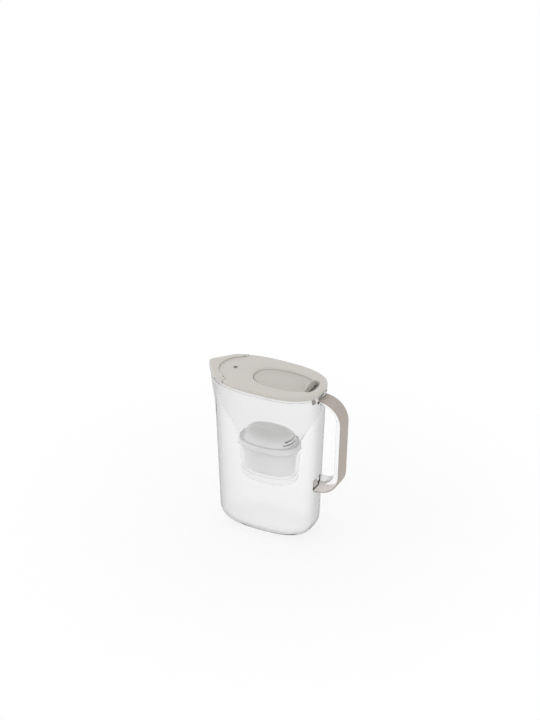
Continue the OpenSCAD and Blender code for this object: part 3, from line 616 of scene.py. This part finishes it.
def gripPath(inset):
    line = handleLine(inset, *(wallHalf(z)[0] + handle["gripGap"] for z in (handleZ, rootLowZ)))
    points = []
    for (x0, z0), (x1, z1) in zip(line, line[1:]):
        count = max(1, int(math.hypot(x1 - x0, z1 - z0) / handle["pathStep"]))
        points += [(x0 + (x1 - x0) * k / count, 0, z0 + (z1 - z0) * k / count) for k in range(count)]
    points.append((line[-1][0], 0, line[-1][1]))
    mesh = bpy.data.meshes.new("gripPath")
    mesh.from_pydata([tuple(np.array(p) * metre) for p in points],
                     [(i, i + 1) for i in range(len(points) - 1)], [])
    return mesh


def followWall(mesh):
    # the band's ends are cut along the jug's curved wall
    full, none = handle["wallReach"]
    for v in mesh.vertices:
        x, y, z = v.co / metre
        a, b = wallHalf(z)
        wallX = a * max(0.0, 1 - abs(y / b) ** jug["squareness"]) ** (1 / jug["squareness"])
        near = min(1, max(0, (a + none - x) / (none - full)))
        v.co.x -= (a - wallX) * near * metre
    return mesh


def bandMesh(inset, narrower, thick, edge, look):
    return followWall(runTree("band", gripPath(inset), gripTree(), {
        "Width": (handle["width"] - narrower) * metre, "Thickness": thick * metre,
        "Edge Radius": edge * metre, "Material": materials[look]}))


liner = handle["liner"]
outer = handle["gripThick"] - liner
makeObject("gripBand", bandMesh(outer / 2, 0, outer, handle["bandEdge"], "softTouch"), "jug",
           "softTouch", ["handle_grip"], sharp=40)
linerMesh = bandMesh(outer + liner / 2, handle["linerInset"], liner, handle["linerEdge"], "gripLiner")
makeObject("gripLiner", linerMesh, "jug", "gripLiner", sharp=40)
print("grip built")


# Funnel

funnel = {"wall": 2, "depth": 171, "seatDepth": 110, "bellDepth": 100, "outlet": 15, "flangeGap": 0.4,
          "bellGap": 0.6, "wellInset": 2.6, "around": 224, "lipEnd": 20, "sunk": 0.6, "corner": 5,
          "wellGap": 2, "bellStraight": 0.15, "bellCurve": 1.6}
cartridge = {"length": 96, "width": 62, "flange": 10, "body": 44, "inset": 6, "cap": 17, "wall": 1.5,
             "gap": 0.4, "mouthLip": 1.6, "taper": 0.05, "power": 2.4, "lowRound": 7, "drain": (14, 7),
             "groove": 0.45, "mouthDeep": 2.6, "around": 160}
seatZ = rimZ - funnel["seatDepth"]
bellZ = rimZ - funnel["bellDepth"]
cartTop = seatZ + cartridge["flange"]
cartLow = seatZ - cartridge["body"]
wellTop = cartLow - funnel["wellGap"]
wellLow = wellTop - funnel["wall"]
lipRadius = wellLow - (rimZ - funnel["depth"])
cartHalf = cartridge["length"] / 2, cartridge["width"] / 2
pocket = cartridge["gap"] + funnel["wall"]
bellHalf = tuple(v - jug["wall"] - funnel["bellGap"] for v in wallHalf(ledgeZ))
funnelFan = fan(funnel["around"])


def wellRing(z, grow, t=funnelFan):
    g = grow - funnel["wellInset"] - cartridge["taper"] * (seatZ - z)
    return ovalRing(t, cartHalf[0] + g, cartHalf[1] + g, z, cartridge["power"])


def seatRing(z, grow):
    return ovalRing(funnelFan, cartHalf[0] + grow, cartHalf[1] + grow, z, cartridge["power"])


def bellRing(z, inset):
    u = min(1.0, (ledgeZ - z) / (ledgeZ - bellZ))
    straight = funnel["bellStraight"]
    w = straight * u + (1 - straight) * ease(u ** funnel["bellCurve"])
    power = jug["squareness"] + (cartridge["power"] - jug["squareness"]) * w
    return ovalRing(funnelFan, bellHalf[0] + (cartHalf[0] + pocket - bellHalf[0]) * w - inset,
                    bellHalf[1] + (cartHalf[1] + pocket - bellHalf[1]) * w - inset, z, power)


def funnelMesh():
    wall, inset = funnel["wall"], jug["collarWall"] + funnel["flangeGap"]
    flangeTop = rimZ - funnel["sunk"]
    lip = lipRadius - wall
    half = funnel["outlet"] / 2

    def outlet(z, grow=0.0):
        return ovalRing(funnelFan, half + grow, half + grow, z, funnel["corner"])

    def flange(drawn, z):
        grow = -inset - drawn
        return ovalRing(funnelFan, halfRim[0] + grow, halfRim[1] + grow, z, jug["squareness"])

    bends = [math.radians(t) for t in steps(funnel["lipEnd"], 90, 10)]
    rings = [outlet(wellLow + 0.3), outlet(wellLow, 0.3), outlet(wellLow, 2.5)]
    rings += [wellRing(wellLow - lip * math.cos(t), -lip * (1 - math.sin(t))) for t in reversed(bends)]
    rings += [wellRing(wellLow - lipRadius * math.cos(t), wall - lipRadius * (1 - math.sin(t)))
              for t in bends]
    rings += [wellRing(z, wall) for z in steps(wellLow + 4, seatZ - 6.5, 10)]
    rings += [seatRing(seatZ - 5.2, pocket - 3.0), seatRing(seatZ - 3, pocket - 2.0),
              seatRing(seatZ - 1, pocket - 1.0), seatRing(seatZ + 1.5, pocket - 0.35)]
    rings += [bellRing(z, 0) for z in steps(bellZ - 4, ledgeZ - 0.6, 44) if z <= ledgeZ]
    rings += [bellRing(ledgeZ - 0.1, -0.15), flange(0.4, ledgeZ), flange(0.1, ledgeZ + 0.1),
              flange(0, ledgeZ + 0.5)]
    soft = 0.6
    rings += [flange(drawn, flangeTop - drop) for drawn, drop in rounding(soft, 5)]
    rings += [ovalRing(funnelFan, bellHalf[0] - d, bellHalf[1] - d, flangeTop - sunk, jug["squareness"])
              for d, sunk in ((0.3, 0), (0.8, 0.15), (1.3, 0.8))]
    rings += [bellRing(z, wall) for z in steps(ledgeZ - 1.0, bellZ - 4, 44)]
    rings += [seatRing(seatZ + 1.5, cartridge["gap"] + 0.3), seatRing(seatZ + 0.4, cartridge["gap"]),
              seatRing(seatZ, cartridge["gap"] - 0.4), wellRing(seatZ, 0.5), wellRing(seatZ - 0.5, 0)]
    rings += [wellRing(z, 0) for z in steps(seatZ - 3, wellTop + 4, 10)]
    rings += [wellRing(wellTop + 2, -0.5), wellRing(wellTop + 0.7, -1.6), wellRing(wellTop, -4)]
    rings += [outlet(wellTop, 2.5), outlet(wellTop, 0.3), outlet(wellTop - 0.3)]
    return skin("funnelMesh", rings, loop=True)


makeObject("funnelBody", funnelMesh(), "funnel", "funnelPlastic", ["funnel"])
print("funnel built")


# Cartridge: cup and domed cap

cartFan = fan(cartridge["around"])
capLook = {"ridge": (24, 7.5), "ledge": 3, "fullness": 0.9, "louvreWide": 38, "louvreTall": 2,
           "louvreStep": 8, "louvreLow": 0.23, "louvreRise": 1.2, "louvreIn": 2, "louvreDeep": 13,
           "padX": 15}
mouthInset = cartridge["inset"] + cartridge["wall"] + cartridge["mouthLip"]
mouthHalf = cartHalf[0] - mouthInset, cartHalf[1] - mouthInset
capHalf = mouthHalf[0] + cartridge["wall"], cartHalf[1] - capLook["ledge"]


def cartRing(grow, z):
    return ovalRing(cartFan, cartHalf[0] + grow, cartHalf[1] + grow, z, cartridge["power"])


def bodyRing(z, grow):
    return wellRing(z, grow + funnel["wellInset"] - cartridge["inset"], cartFan)


def cupMesh():
    wall, low, roundLow = cartridge["wall"], cartLow, cartridge["lowRound"]
    drain = [ovalRing(cartFan, *cartridge["drain"], z, cartridge["power"]) for z in (low, low + wall)]
    rings = [drain[0]] + [bodyRing(low + rise, -inset) for rise, inset in rounding(roundLow, 9)]
    rings += [bodyRing(z, 0) for z in steps(low + 12, seatZ - 6.4, 6)]
    rings += [bodyRing(seatZ - 5.8, 0.15), bodyRing(seatZ - 5.2, 0.6), bodyRing(seatZ - 0.4, 0.6),
              bodyRing(seatZ - 0.1, 0.8), bodyRing(seatZ, 1.2)]
    band = seatZ + cartridge["groove"] * cartridge["flange"]
    edge = [(-0.5, seatZ), (-0.12, seatZ + 0.12), (0, seatZ + 0.5)]
    groove = [(0, band - 0.6), (-0.14, band - 0.42), (-0.5, band - 0.2),
              (-0.5, band + 0.2), (-0.14, band + 0.42), (0, band + 0.6)]
    shoulder = [(0, cartTop - 1.4), (-0.15, cartTop - 0.8), (-0.6, cartTop - 0.3),
                (-1.2, cartTop - 0.05), (-1.8, cartTop)]
    rings += [cartRing(g, z) for g, z in edge + groove + shoulder]
    lip, mouthLow = cartridge["mouthLip"], cartTop - cartridge["mouthDeep"]
    rings += [ovalRing(cartFan, mouthHalf[0] + g, mouthHalf[1] + g, z, cartridge["power"])
              for g, z in ((0.3, cartTop), (0, cartTop - 0.3), (0, mouthLow))]
    rings += [bodyRing(mouthLow - lip, -wall), bodyRing(low + roundLow, -wall),
              bodyRing(low + wall + 1.5, -wall - 3), bodyRing(low + wall, -roundLow)]
    rings.append(drain[1])
    return skin("cupMesh", rings, loop=True)


def capRing(t, thin):
    drop = math.cos(t) ** capLook["fullness"]
    a, b = (v - thin + (foot - v) * drop for v, foot in zip(capLook["ridge"], capHalf))
    return ovalRing(cartFan, a, b, cartTop + (cartridge["cap"] - thin) * math.sin(t), cartridge["power"])


def capMesh():
    bend = steps(0, math.pi / 2, 26)
    bend[-1] = math.pi / 2 - 1e-4
    outside = skin("cap", [capRing(t, 0) for t in bend])
    hollow = skin("hollow", [capRing(t, cartridge["wall"]) - np.array([0, 0, 0.02]) for t in bend])
    high = cartTop + cartridge["cap"]
    w = fullTurn(48)
    padEdge = ((3.5, -0.5), (3.1, 0.3), (2.95, 0.62), (2.6, 0.78), (2.3, 0.8))
    pads, louvres = [], []
    deep, tall = capLook["louvreDeep"], capLook["louvreTall"] / 2
    for side in (-1, 1):
        pads.append(skin("pad", [polarRing(w, r, high + z, side * capLook["padX"]) for r, z in padEdge]))
        for level in (0, 1):
            x = side * (capHalf[0] - capLook["louvreIn"])
            z = cartTop + capLook["louvreLow"] * cartridge["cap"] * (1 + capLook["louvreRise"] * level)
            wide = (capLook["louvreWide"] - capLook["louvreStep"] * level) / 2
            louvres.append(block((x - deep, -wide, z - tall), (x + deep, wide, z + tall)))
    return union(cut(outside, hollow, *louvres), *pads)


for pieceName, mesh, node in (("cartridgeCup", cupMesh(), "cartridge_body"),
                              ("cartridgeCap", capMesh(), "cartridge_cap")):
    makeObject(pieceName, mesh, "cartridge", "cupPlastic", [node], sharp=40)
print("cartridge built")


# Lid

lid = {
    "height": 7, "plate": 2.6, "over": 0.5, "skirt": 3, "edge": 2.6, "ringDepth": 3.5, "ringGap": 0.5,
    "ringWall": 1.8, "hook": 16, "hookBack": 3.2, "hookFoot": 1.4, "hookThick": 2, "hookY": (6, 13),
    "visorR": 37, "visorX": 44, "visorHinge": 58, "visorRise": 3, "visorPin": 2.5, "knuckle": 2.8,
    "visorWall": 2.2, "visorRoof": 2.4, "arcGap": 0.3, "socketWall": 1.7, "socketDepth": 8, "window": 7,
    "pinGap": 0.08, "trayWall": 2, "wellWall": 1.6, "wellSide": 4.2, "wellBack": 1.2, "wellFront": 5,
    "wellDeep": 6, "wellPower": 2.5, "lug": 4.5, "lugHalf": 4, "hole": (13, 5.5), "holeX": 9.5,
    "ringClear": 0.9, "visorPinDrop": 2, "visorPinIn": 3.6, "visorLug": 5, "visorLugHalf": 3,
    "visorLugLow": 3.2,
}
flap = {
    "length": 95, "width": 55, "x": 23, "sink": 2.5, "thick": 2.2, "gap": 0.8, "finHeight": 8.5,
    "finWidth": 30, "finThick": 2.8, "finIn": 4, "pin": 3, "pinDrop": 3, "power": 2.4, "bevelHigh": 2.2,
    "bevelWide": 2.8, "barrel": 2.2,
}
puck = {
    "diameter": 31.5, "height": 18.7, "x": 57.5, "wall": 1.4, "dish": 9.5, "dishDeep": 1.2, "roof": 1.6,
    "button": 7, "topRound": 2, "sunk": 0.2, "board": 8, "boreGap": 0.08, "collar": 1.4,
}
lidHalf = halfRim[0] + lid["over"], halfRim[1] + lid["over"]
lidTop = rimZ + lid["height"]
lidUnder = lidTop - lid["plate"]
ringLow = rimZ - lid["ringDepth"]
flapTop = lidTop - flap["sink"]
flapLow = flapTop - flap["thick"]
trayLow = flapLow - lid["trayWall"]
visorEnd = lid["visorHinge"] - lid["knuckle"]
visorHingeZ = lidTop - lid["visorPinDrop"]
ringHalf = tuple(v - funnel["wall"] - lid["ringGap"] for v in bellHalf)
fillHalf = flap["length"] / 2, flap["width"] / 2
flapEnd = flap["x"] + fillHalf[0] - flap["finIn"]
hingeX = flapEnd - flap["finThick"] / 2
hingeZ = flapTop - flap["pinDrop"]
wellX = hingeX + math.hypot(flapEnd - hingeX, flapTop + flap["finHeight"] - hingeZ) + lid["wellBack"]
wellY = flap["finWidth"] / 2 + lid["wellSide"]
wellFront = hingeX - lid["wellFront"]
wellFloor = hingeZ - lid["wellDeep"]
lugY = wellY + lid["lug"]
socketR = puck["diameter"] / 2 + 0.1
arcRadius = lid["visorR"] - lid["arcGap"]
lugHalf = lid["visorLugHalf"]
visorLugY = math.sqrt(arcRadius ** 2 - (lid["visorHinge"] + lugHalf - lid["visorX"]) ** 2) - 0.1
hornY = math.sqrt(lid["visorR"] ** 2 - (visorEnd - lid["visorX"]) ** 2) + 0.2
hookX = ringHalf[0] - lid["hookBack"]
tipRound = jug["spoutTip"] + lid["over"]
lidTip = float(spoutRadius(np.array([math.pi]), *lidHalf, jug["spoutReach"], tipRound)[0])
visorTilt = (lidTop + lid["visorRise"] - visorHingeZ - lid["knuckle"]) / (lidTip - lid["visorHinge"])
lidFan = fan(224, jug["crowd"])
roundFan = fan(160)


def tilted(rings):
    # the visor falls from its tip to the knuckles of its hinge
    return [ring - np.outer(ring[:, 0] + lidTip, (0, 0, visorTilt)) for ring in rings]


def cappedOutline(low, top, falling=False):
    over, edge = lid["over"], lid["edge"]
    rings = [rimRing(grow - over, low + rise, lidFan) for grow, rise in ((0.4, 0), (0.12, 0.12), (0, 0.4))]
    rings += [rimRing(inset - over, top - drop, lidFan) for inset, drop in rounding(edge, 9)]
    return skin("outline", tilted(rings) if falling else rings)


def beyondArc(endX, grow, low, high):
    # everything past endX towards the spout, outside the visor's arc
    reach = 2 * lidHalf[0]
    slab = prism([(-reach, -reach), (endX, -reach), (endX, reach), (-reach, reach)], low, high)
    return cut(slab, prism(circle(-lid["visorX"], lid["visorR"] - grow), low - 1, high + 1))


def ovalPrism(a, b, low, high, power, x=0.0, t=roundFan):
    return prism(ovalRing(t, a, b, 0, power, x), low, high, "oval")


def thumbWell(grow, low, high):
    oval = ovalPrism(wellX - hingeX + grow, wellY + grow, low, high, lid["wellPower"], hingeX)
    return meet(oval, block((wellFront - grow, -60, low - 1), (wellFront + 60, 60, high + 1)))


def lidMesh():
    plate = cappedOutline(rimZ, lidTop)
    plate = cut(plate, prism(rimRing(lid["skirt"] - lid["over"], 0, lidFan), rimZ - 1, lidUnder),
                beyondArc(lid["arcGap"] - visorEnd, lid["arcGap"], rimZ - 1, lidTop + 1))
    wall = lid["ringWall"]
    into = lidUnder + 0.1       # pieces under the plate reach this far into it
    ring = []
    for drawn in (0, wall):
        low, high, clear = ringLow - drawn, into + drawn, lid["ringClear"] + drawn
        oval = ovalPrism(ringHalf[0] - drawn, ringHalf[1] - drawn, low, high, jug["squareness"], 0, lidFan)
        ring.append(cut(oval, beyondArc(clear - visorEnd, clear, low - 1, high + 1)))
    added = [cut(*ring)]
    a, b = (half + lid["trayWall"] for half in fillHalf)
    added.append(ovalPrism(a, b, trayLow, into, flap["power"], flap["x"]))
    added.append(thumbWell(lid["wellWall"], wellFloor - lid["wellWall"], into))
    lug = lid["lugHalf"]
    added.append(block((hingeX - lug, -lugY, hingeZ - lug), (hingeX + lug, lugY, lidUnder)))
    added.append(disc(-puck["x"], socketR + lid["socketWall"], lidUnder - lid["socketDepth"], into))
    visorX = -lid["visorHinge"]
    low, foot, hookIn = rimZ - lid["hook"], lid["hookFoot"], hookX - lid["hookThick"]
    hook = [(hookIn, low), (hookX + foot - 0.4, low), (hookX + foot, low + 0.4), (hookX + foot, low + 1.2),
            (hookX, low + 1.2 + 2 * foot), (hookX, into), (hookIn, into)]
    for side in (-1, 1):
        y0, y1 = sorted((side * (visorLugY - lid["visorLug"]), side * visorLugY))
        added.append(block((visorX - lugHalf, y0, visorHingeZ - lid["visorLugLow"]),
                           (visorX + lugHalf, y1, into)))
        ends = sorted(side * y for y in lid["hookY"])
        added.append(skin("hook", [np.array([(x, y, z) for x, z in hook]) for y in ends]))
    body = union(plate, *added)
    high, wide = flap["bevelHigh"], flap["bevelWide"]
    soft = [(0, flapLow), (0, lidTop - high - 0.5), (0.12, lidTop - high - 0.1), (0.5, lidTop - high + 0.3),
            (wide - 0.9, lidTop - 0.55), (wide - 0.3, lidTop - 0.16), (wide + 0.5, lidTop + 0.01)]
    recess = skin("recess", [ovalRing(roundFan, fillHalf[0] + g, fillHalf[1] + g, z, flap["power"],
                                      flap["x"]) for g, z in soft])
    a, b = (half - inset for half, inset in zip(fillHalf, lid["hole"]))
    hole = ovalPrism(a, b, trayLow - 1, flapLow + 1, flap["power"], flap["x"] - lid["holeX"])
    removed = [recess, hole, thumbWell(0, wellFloor, lidTop + 1),
               barY(hingeX, hingeZ, flap["pin"] / 2 + lid["pinGap"], -lugY + 0.6, lugY - 0.6),
               disc(-puck["x"], socketR, lidUnder - lid["socketDepth"] - 1, lidUnder),
               disc(-puck["x"], lid["window"] / 2, lidUnder - 1, lidTop + 1)]
    for side in (-1, 1):
        y0, y1 = sorted((side * (visorLugY - lid["visorPinIn"] - 0.4), side * (hornY + 1)))
        removed.append(barY(visorX, visorHingeZ, lid["visorPin"] / 2 + lid["pinGap"], y0, y1))
    return cut(body, *removed)


def flapMesh():
    a, b = fillHalf[0] - flap["gap"], fillHalf[1] - flap["gap"]
    low, top = flapLow + 0.05, flapTop
    leaf = skin("leaf", [ovalRing(roundFan, a - g, b - g, z, flap["power"], flap["x"])
                         for g, z in ((0, low), (0, top - 0.4), (0.12, top - 0.12), (0.4, top))])
    tailY = wellY - flap["gap"]
    tail = block((wellFront + flap["gap"], -tailY, low), (2 * flapEnd, tailY, top))
    leaf = meet(union(leaf, tail), block((-2 * a, -b, low - 1), (flapEnd, b, top + 1)))
    halfFin, finFoot, thick = flap["finWidth"] / 2, flapTop - 0.1, flap["finThick"]
    moon = [(halfFin * math.cos(t), (flap["finHeight"] + 0.1) * math.sin(t)) for t in steps(0, math.pi, 60)]
    rings = []
    for x, drawn in ((0, 0.6), (0.18, 0.18), (0.6, 0), (thick - 0.6, 0), (thick - 0.18, 0.18), (thick, 0.6)):
        wide, tall = 1 - drawn / halfFin, 1 - drawn / flap["finHeight"]
        rings.append(np.array([(flapEnd - thick + x, y * wide, finFoot + z * tall) for y, z in moon]))
    fin = skin("fin", rings)
    return union(leaf, fin, barY(hingeX, hingeZ, flap["barrel"], -wellY + 0.4, wellY - 0.4),
                 barY(hingeX, hingeZ, flap["pin"] / 2, -lugY + 1, lugY - 1, 0.3))


def visorMesh():
    low, top = rimZ + 0.2, lidTop + lid["visorRise"]
    swing = 4.4         # room behind the visor's edge for the turning knuckles
    hingeLine, power = -lid["visorHinge"], jug["squareness"]
    hornEnd = lidHalf[1] * (1 - (lid["visorHinge"] / lidHalf[0]) ** power) ** (1 / power)
    zone = cut(beyondArc(hingeLine, 0, low, top + 1),
               block((hingeLine - swing, -hornY, low - 2), (hingeLine + 1, hornY, top + 2)))
    body = meet(cappedOutline(low, top, True), zone)
    inside = [rimRing(lid["visorWall"], z, lidFan) for z in (low - 1, top - lid["visorRoof"])]
    hollow = meet(skin("hollow", tilted(inside)), beyondArc(hingeLine - 6, -2, low - 2, top))
    body = cut(body, hollow)
    parts = []
    for side in (-1, 1):
        y0, y1 = sorted((side * hornY, side * (hornEnd - 1)))
        parts.append(barY(hingeLine, visorHingeZ, lid["knuckle"], y0, y1))
        y0, y1 = sorted((side * (visorLugY - lid["visorPinIn"]), side * (hornY + 1)))
        parts.append(barY(hingeLine, visorHingeZ, lid["visorPin"] / 2, y0, y1, 0.3))
    return union(body, *parts)


makeObject("lidPlate", lidMesh(), "lid", "stonePlastic", ["lid"], bevel=0.25)
print("lid built")
# the flap wears the darker copy of the stone colour, which is painted shade
makeObject("fillFlap", flapMesh(), "fill_flap", "shadedFlapStone", ["fill_flap"], bevel=0.2)
makeObject("spoutVisor", visorMesh(), "spout_visor", "stonePlastic",
           ["spout_visor"], bevel=0.3)
print("flap and visor built")


# Light indicator: lathed shells; its inner pieces keep their CAD shapes

puckTop = lidUnder - puck["sunk"]
puckLow = puckTop - puck["height"]
puckR = puck["diameter"] / 2
roofLow = puckTop - puck["dishDeep"] - puck["roof"]
buttonR = puck["button"] / 2
boardZ = puckTop - puck["board"]


def housingMesh():
    dish, dishZ, turn = puck["dish"], puckTop - puck["dishDeep"], puck["topRound"]
    bore, inside = buttonR + puck["boreGap"], puckR - puck["wall"]
    profile = [(bore, dishZ - 0.25), (bore + 0.25, dishZ), (dish - 0.7, dishZ), (dish - 0.2, dishZ + 0.2),
               (dish, dishZ + 0.7), (dish, puckTop - 0.35), (dish + 0.1, puckTop - 0.1),
               (dish + 0.35, puckTop)]
    profile += [(puckR - inset, puckTop - drop) for inset, drop in reversed(rounding(turn, 10))]
    profile += [(puckR, puckLow + 0.8), (puckR - 0.24, puckLow + 0.24), (puckR - 0.8, puckLow),
                (inside, puckLow), (inside, boardZ + 0.05), (inside - 1.4, boardZ + 0.05),
                (inside - 1.4, roofLow), (bore, roofLow)]
    return lathe("housing", profile, -puck["x"])


def buttonMesh():
    top, wide, low = puckTop - puck["dishDeep"], buttonR + puck["collar"], roofLow - puck["collar"]
    profile = [(0, low), (wide, low), (wide, roofLow - 0.05), (buttonR, roofLow - 0.05),
               (buttonR, top + 0.2), (buttonR - 0.12, top + 0.45), (buttonR - 0.5, top + 0.6),
               (0, top + 0.7)]
    return lathe("button", profile, -puck["x"])


makeObject("indicatorShell", housingMesh(), "indicator", "whitePlastic",
           ["indicator_housing"], sharp=35)
makeObject("resetButton", buttonMesh(), "reset_button", "smokedLens",
           ["indicator_button"], sharp=35)

kept = {
    "cartridge_media": ("carbonGranules", "carbon_granules"),
    "inlet_screen": ("meshPlastic", "mesh_plastic"),
    "outlet_screen": ("meshPlastic", "mesh_plastic"),
    "led_window": ("smokedLens", "smoked_lens"),
    "indicator_base": ("whitePlastic", "white_plastic"),
    "indicator_seal": ("sealRubber", "seal_rubber"),
    "indicator_board": ("circuitBoard", "circuit_board"),
    "status_led": ("ledBody", "led_body"),
    "snap_dome": ("springSteel", "spring_steel"),
    "indicator_battery": ("cellSteel", "cell_steel"),
    "battery_contact": ("contactBrass", "contact_brass"),
}
for nodeName, (look, slotName) in kept.items():
    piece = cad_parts[nodeName]
    piece.data.materials.clear()
    piece.data.materials.append(materials[look])
print("indicator built")


# Floor, world, lamps and camera

studio = {
    "floorHalf": 12.0, "floorDrop": 0.0003, "floorColor": "fdfdfd", "shadowNear": 0.68, "nearRadius": 0.2,
    "farRadius": 0.55, "worldLight": 0.87, "sideDark": 0.86, "sideFrom": 0.35, "sideTo": 0.85,
}
lamps = {
    "topLamp": {"place": (-0.3, -0.2, 1.5), "size": (1.1, 1.1), "power": 1.9},
    "leftLamp": {"place": (-1.3, -0.9, 0.8), "size": (0.5, 1.3), "power": 2.0},
    "rightLamp": {"place": (1.4, -0.5, 0.6), "size": (0.4, 1.2), "power": 1.0},
}
lampAim = Vector((0.0, 0.0, 0.13))
camera = {
    "azimuth": 27.0, "elevation": 30.0, "distance": 4.0, "lens": 135.0, "aimUp": 0.0293,
    "target": (0.0, 0.0, 0.249),
}
azimuth, elevation = math.radians(camera["azimuth"]), math.radians(camera["elevation"])
flatBack = Vector((math.sin(azimuth), -math.cos(azimuth), 0))
upward = Vector((0, 0, 1))
back = flatBack * math.cos(elevation) + upward * math.sin(elevation)
up = upward * math.cos(elevation) - flatBack * math.sin(elevation)
right = up.cross(back)


def floorMaterial():
    # glows white for the camera and for reflections; near the object less, so its shadow shows
    material, tree, shader = newMaterial("floorWhite")
    feed(tree, shader, {
        "Base Color": linear(studio["floorColor"]), "Roughness": 1.0, "Specular IOR Level": 0.0})
    place = addNode(tree, "ShaderNodeTexCoord").outputs["Object"]
    reach = addNode(tree, "ShaderNodeVectorMath", {0: place}, operation="LENGTH").outputs["Value"]
    share = mapRange(tree, reach, studio["nearRadius"], studio["farRadius"], studio["shadowNear"], 1.0,
                     "SMOOTHSTEP")
    path = addNode(tree, "ShaderNodeLightPath").outputs
    seen = mathNode(tree, "MAXIMUM", path["Is Camera Ray"], path["Is Glossy Ray"])
    seenThrough = mathNode(tree, "MAXIMUM", seen, path["Is Transmission Ray"])
    glowing = mathNode(tree, "MULTIPLY", seenThrough, share)
    glow = addNode(tree, "ShaderNodeEmission", {"Color": (1, 1, 1, 1)})
    mixShaders(tree, glowing, shader.outputs["BSDF"], glow.outputs["Emission"])
    return material


half = studio["floorHalf"] / metre
corners = [(-half, -half, 0), (half, -half, 0), (half, half, 0), (-half, half, 0)]
floor = temporary(meshOf("floor", corners, [(0, 1, 2, 3)]))
floor.name = "floor"
floor.location.z = -studio["floorDrop"]
floor.data.materials.append(floorMaterial())


def studioWorld():
    # white to the camera; darker towards the sides for reflections and what is seen through plastic
    world = bpy.data.worlds.new("studio")
    world.use_nodes = True
    tree = world.node_tree
    place = addNode(tree, "ShaderNodeTexCoord").outputs["Generated"]
    across = addNode(tree, "ShaderNodeVectorMath", {0: place, 1: right}, operation="DOT_PRODUCT")
    sideways = mathNode(tree, "ABSOLUTE", across.outputs["Value"])
    shade = mapRange(tree, sideways, studio["sideFrom"], studio["sideTo"], 1.0, studio["sideDark"],
                     "SMOOTHSTEP")
    path = addNode(tree, "ShaderNodeLightPath").outputs
    mirrored = mathNode(tree, "MAXIMUM", path["Is Glossy Ray"], path["Is Transmission Ray"])
    light = blend(tree, mirrored, studio["worldLight"], shade, "FLOAT")
    feed(tree, tree.nodes["Background"], {
        "Color": (1, 1, 1, 1), "Strength": blend(tree, path["Is Camera Ray"], light, 1.0, "FLOAT")})
    return world


def softLamp(name, lamp):
    light = bpy.data.lights.new(name, "AREA")
    light.shape = "RECTANGLE"
    light.size, light.size_y = lamp["size"]
    light.energy = lamp["power"]
    obj = bpy.data.objects.new(name, light)
    scene.collection.objects.link(obj)
    obj.location = lamp["place"]
    obj.rotation_euler = (obj.location - lampAim).to_track_quat("Z", "Y").to_euler()


scene.world = studioWorld()
for name, lamp in lamps.items():
    softLamp(name, lamp)

cameraData = bpy.data.cameras.new("camera")
cameraData.sensor_fit = "AUTO"
cameraData.sensor_width = 36.0
cameraData.lens = camera["lens"]
cameraData.clip_end = 60.0
cameraObject = bpy.data.objects.new("camera", cameraData)
scene.collection.objects.link(cameraObject)
target = Vector(camera["target"])
cameraObject.location = target + back * camera["distance"]
aim = target + up * camera["aimUp"]
cameraObject.rotation_euler = (cameraObject.location - aim).to_track_quat("Z", "Y").to_euler()
scene.camera = cameraObject
scene.view_settings.view_transform = "Standard"
print("studio built")
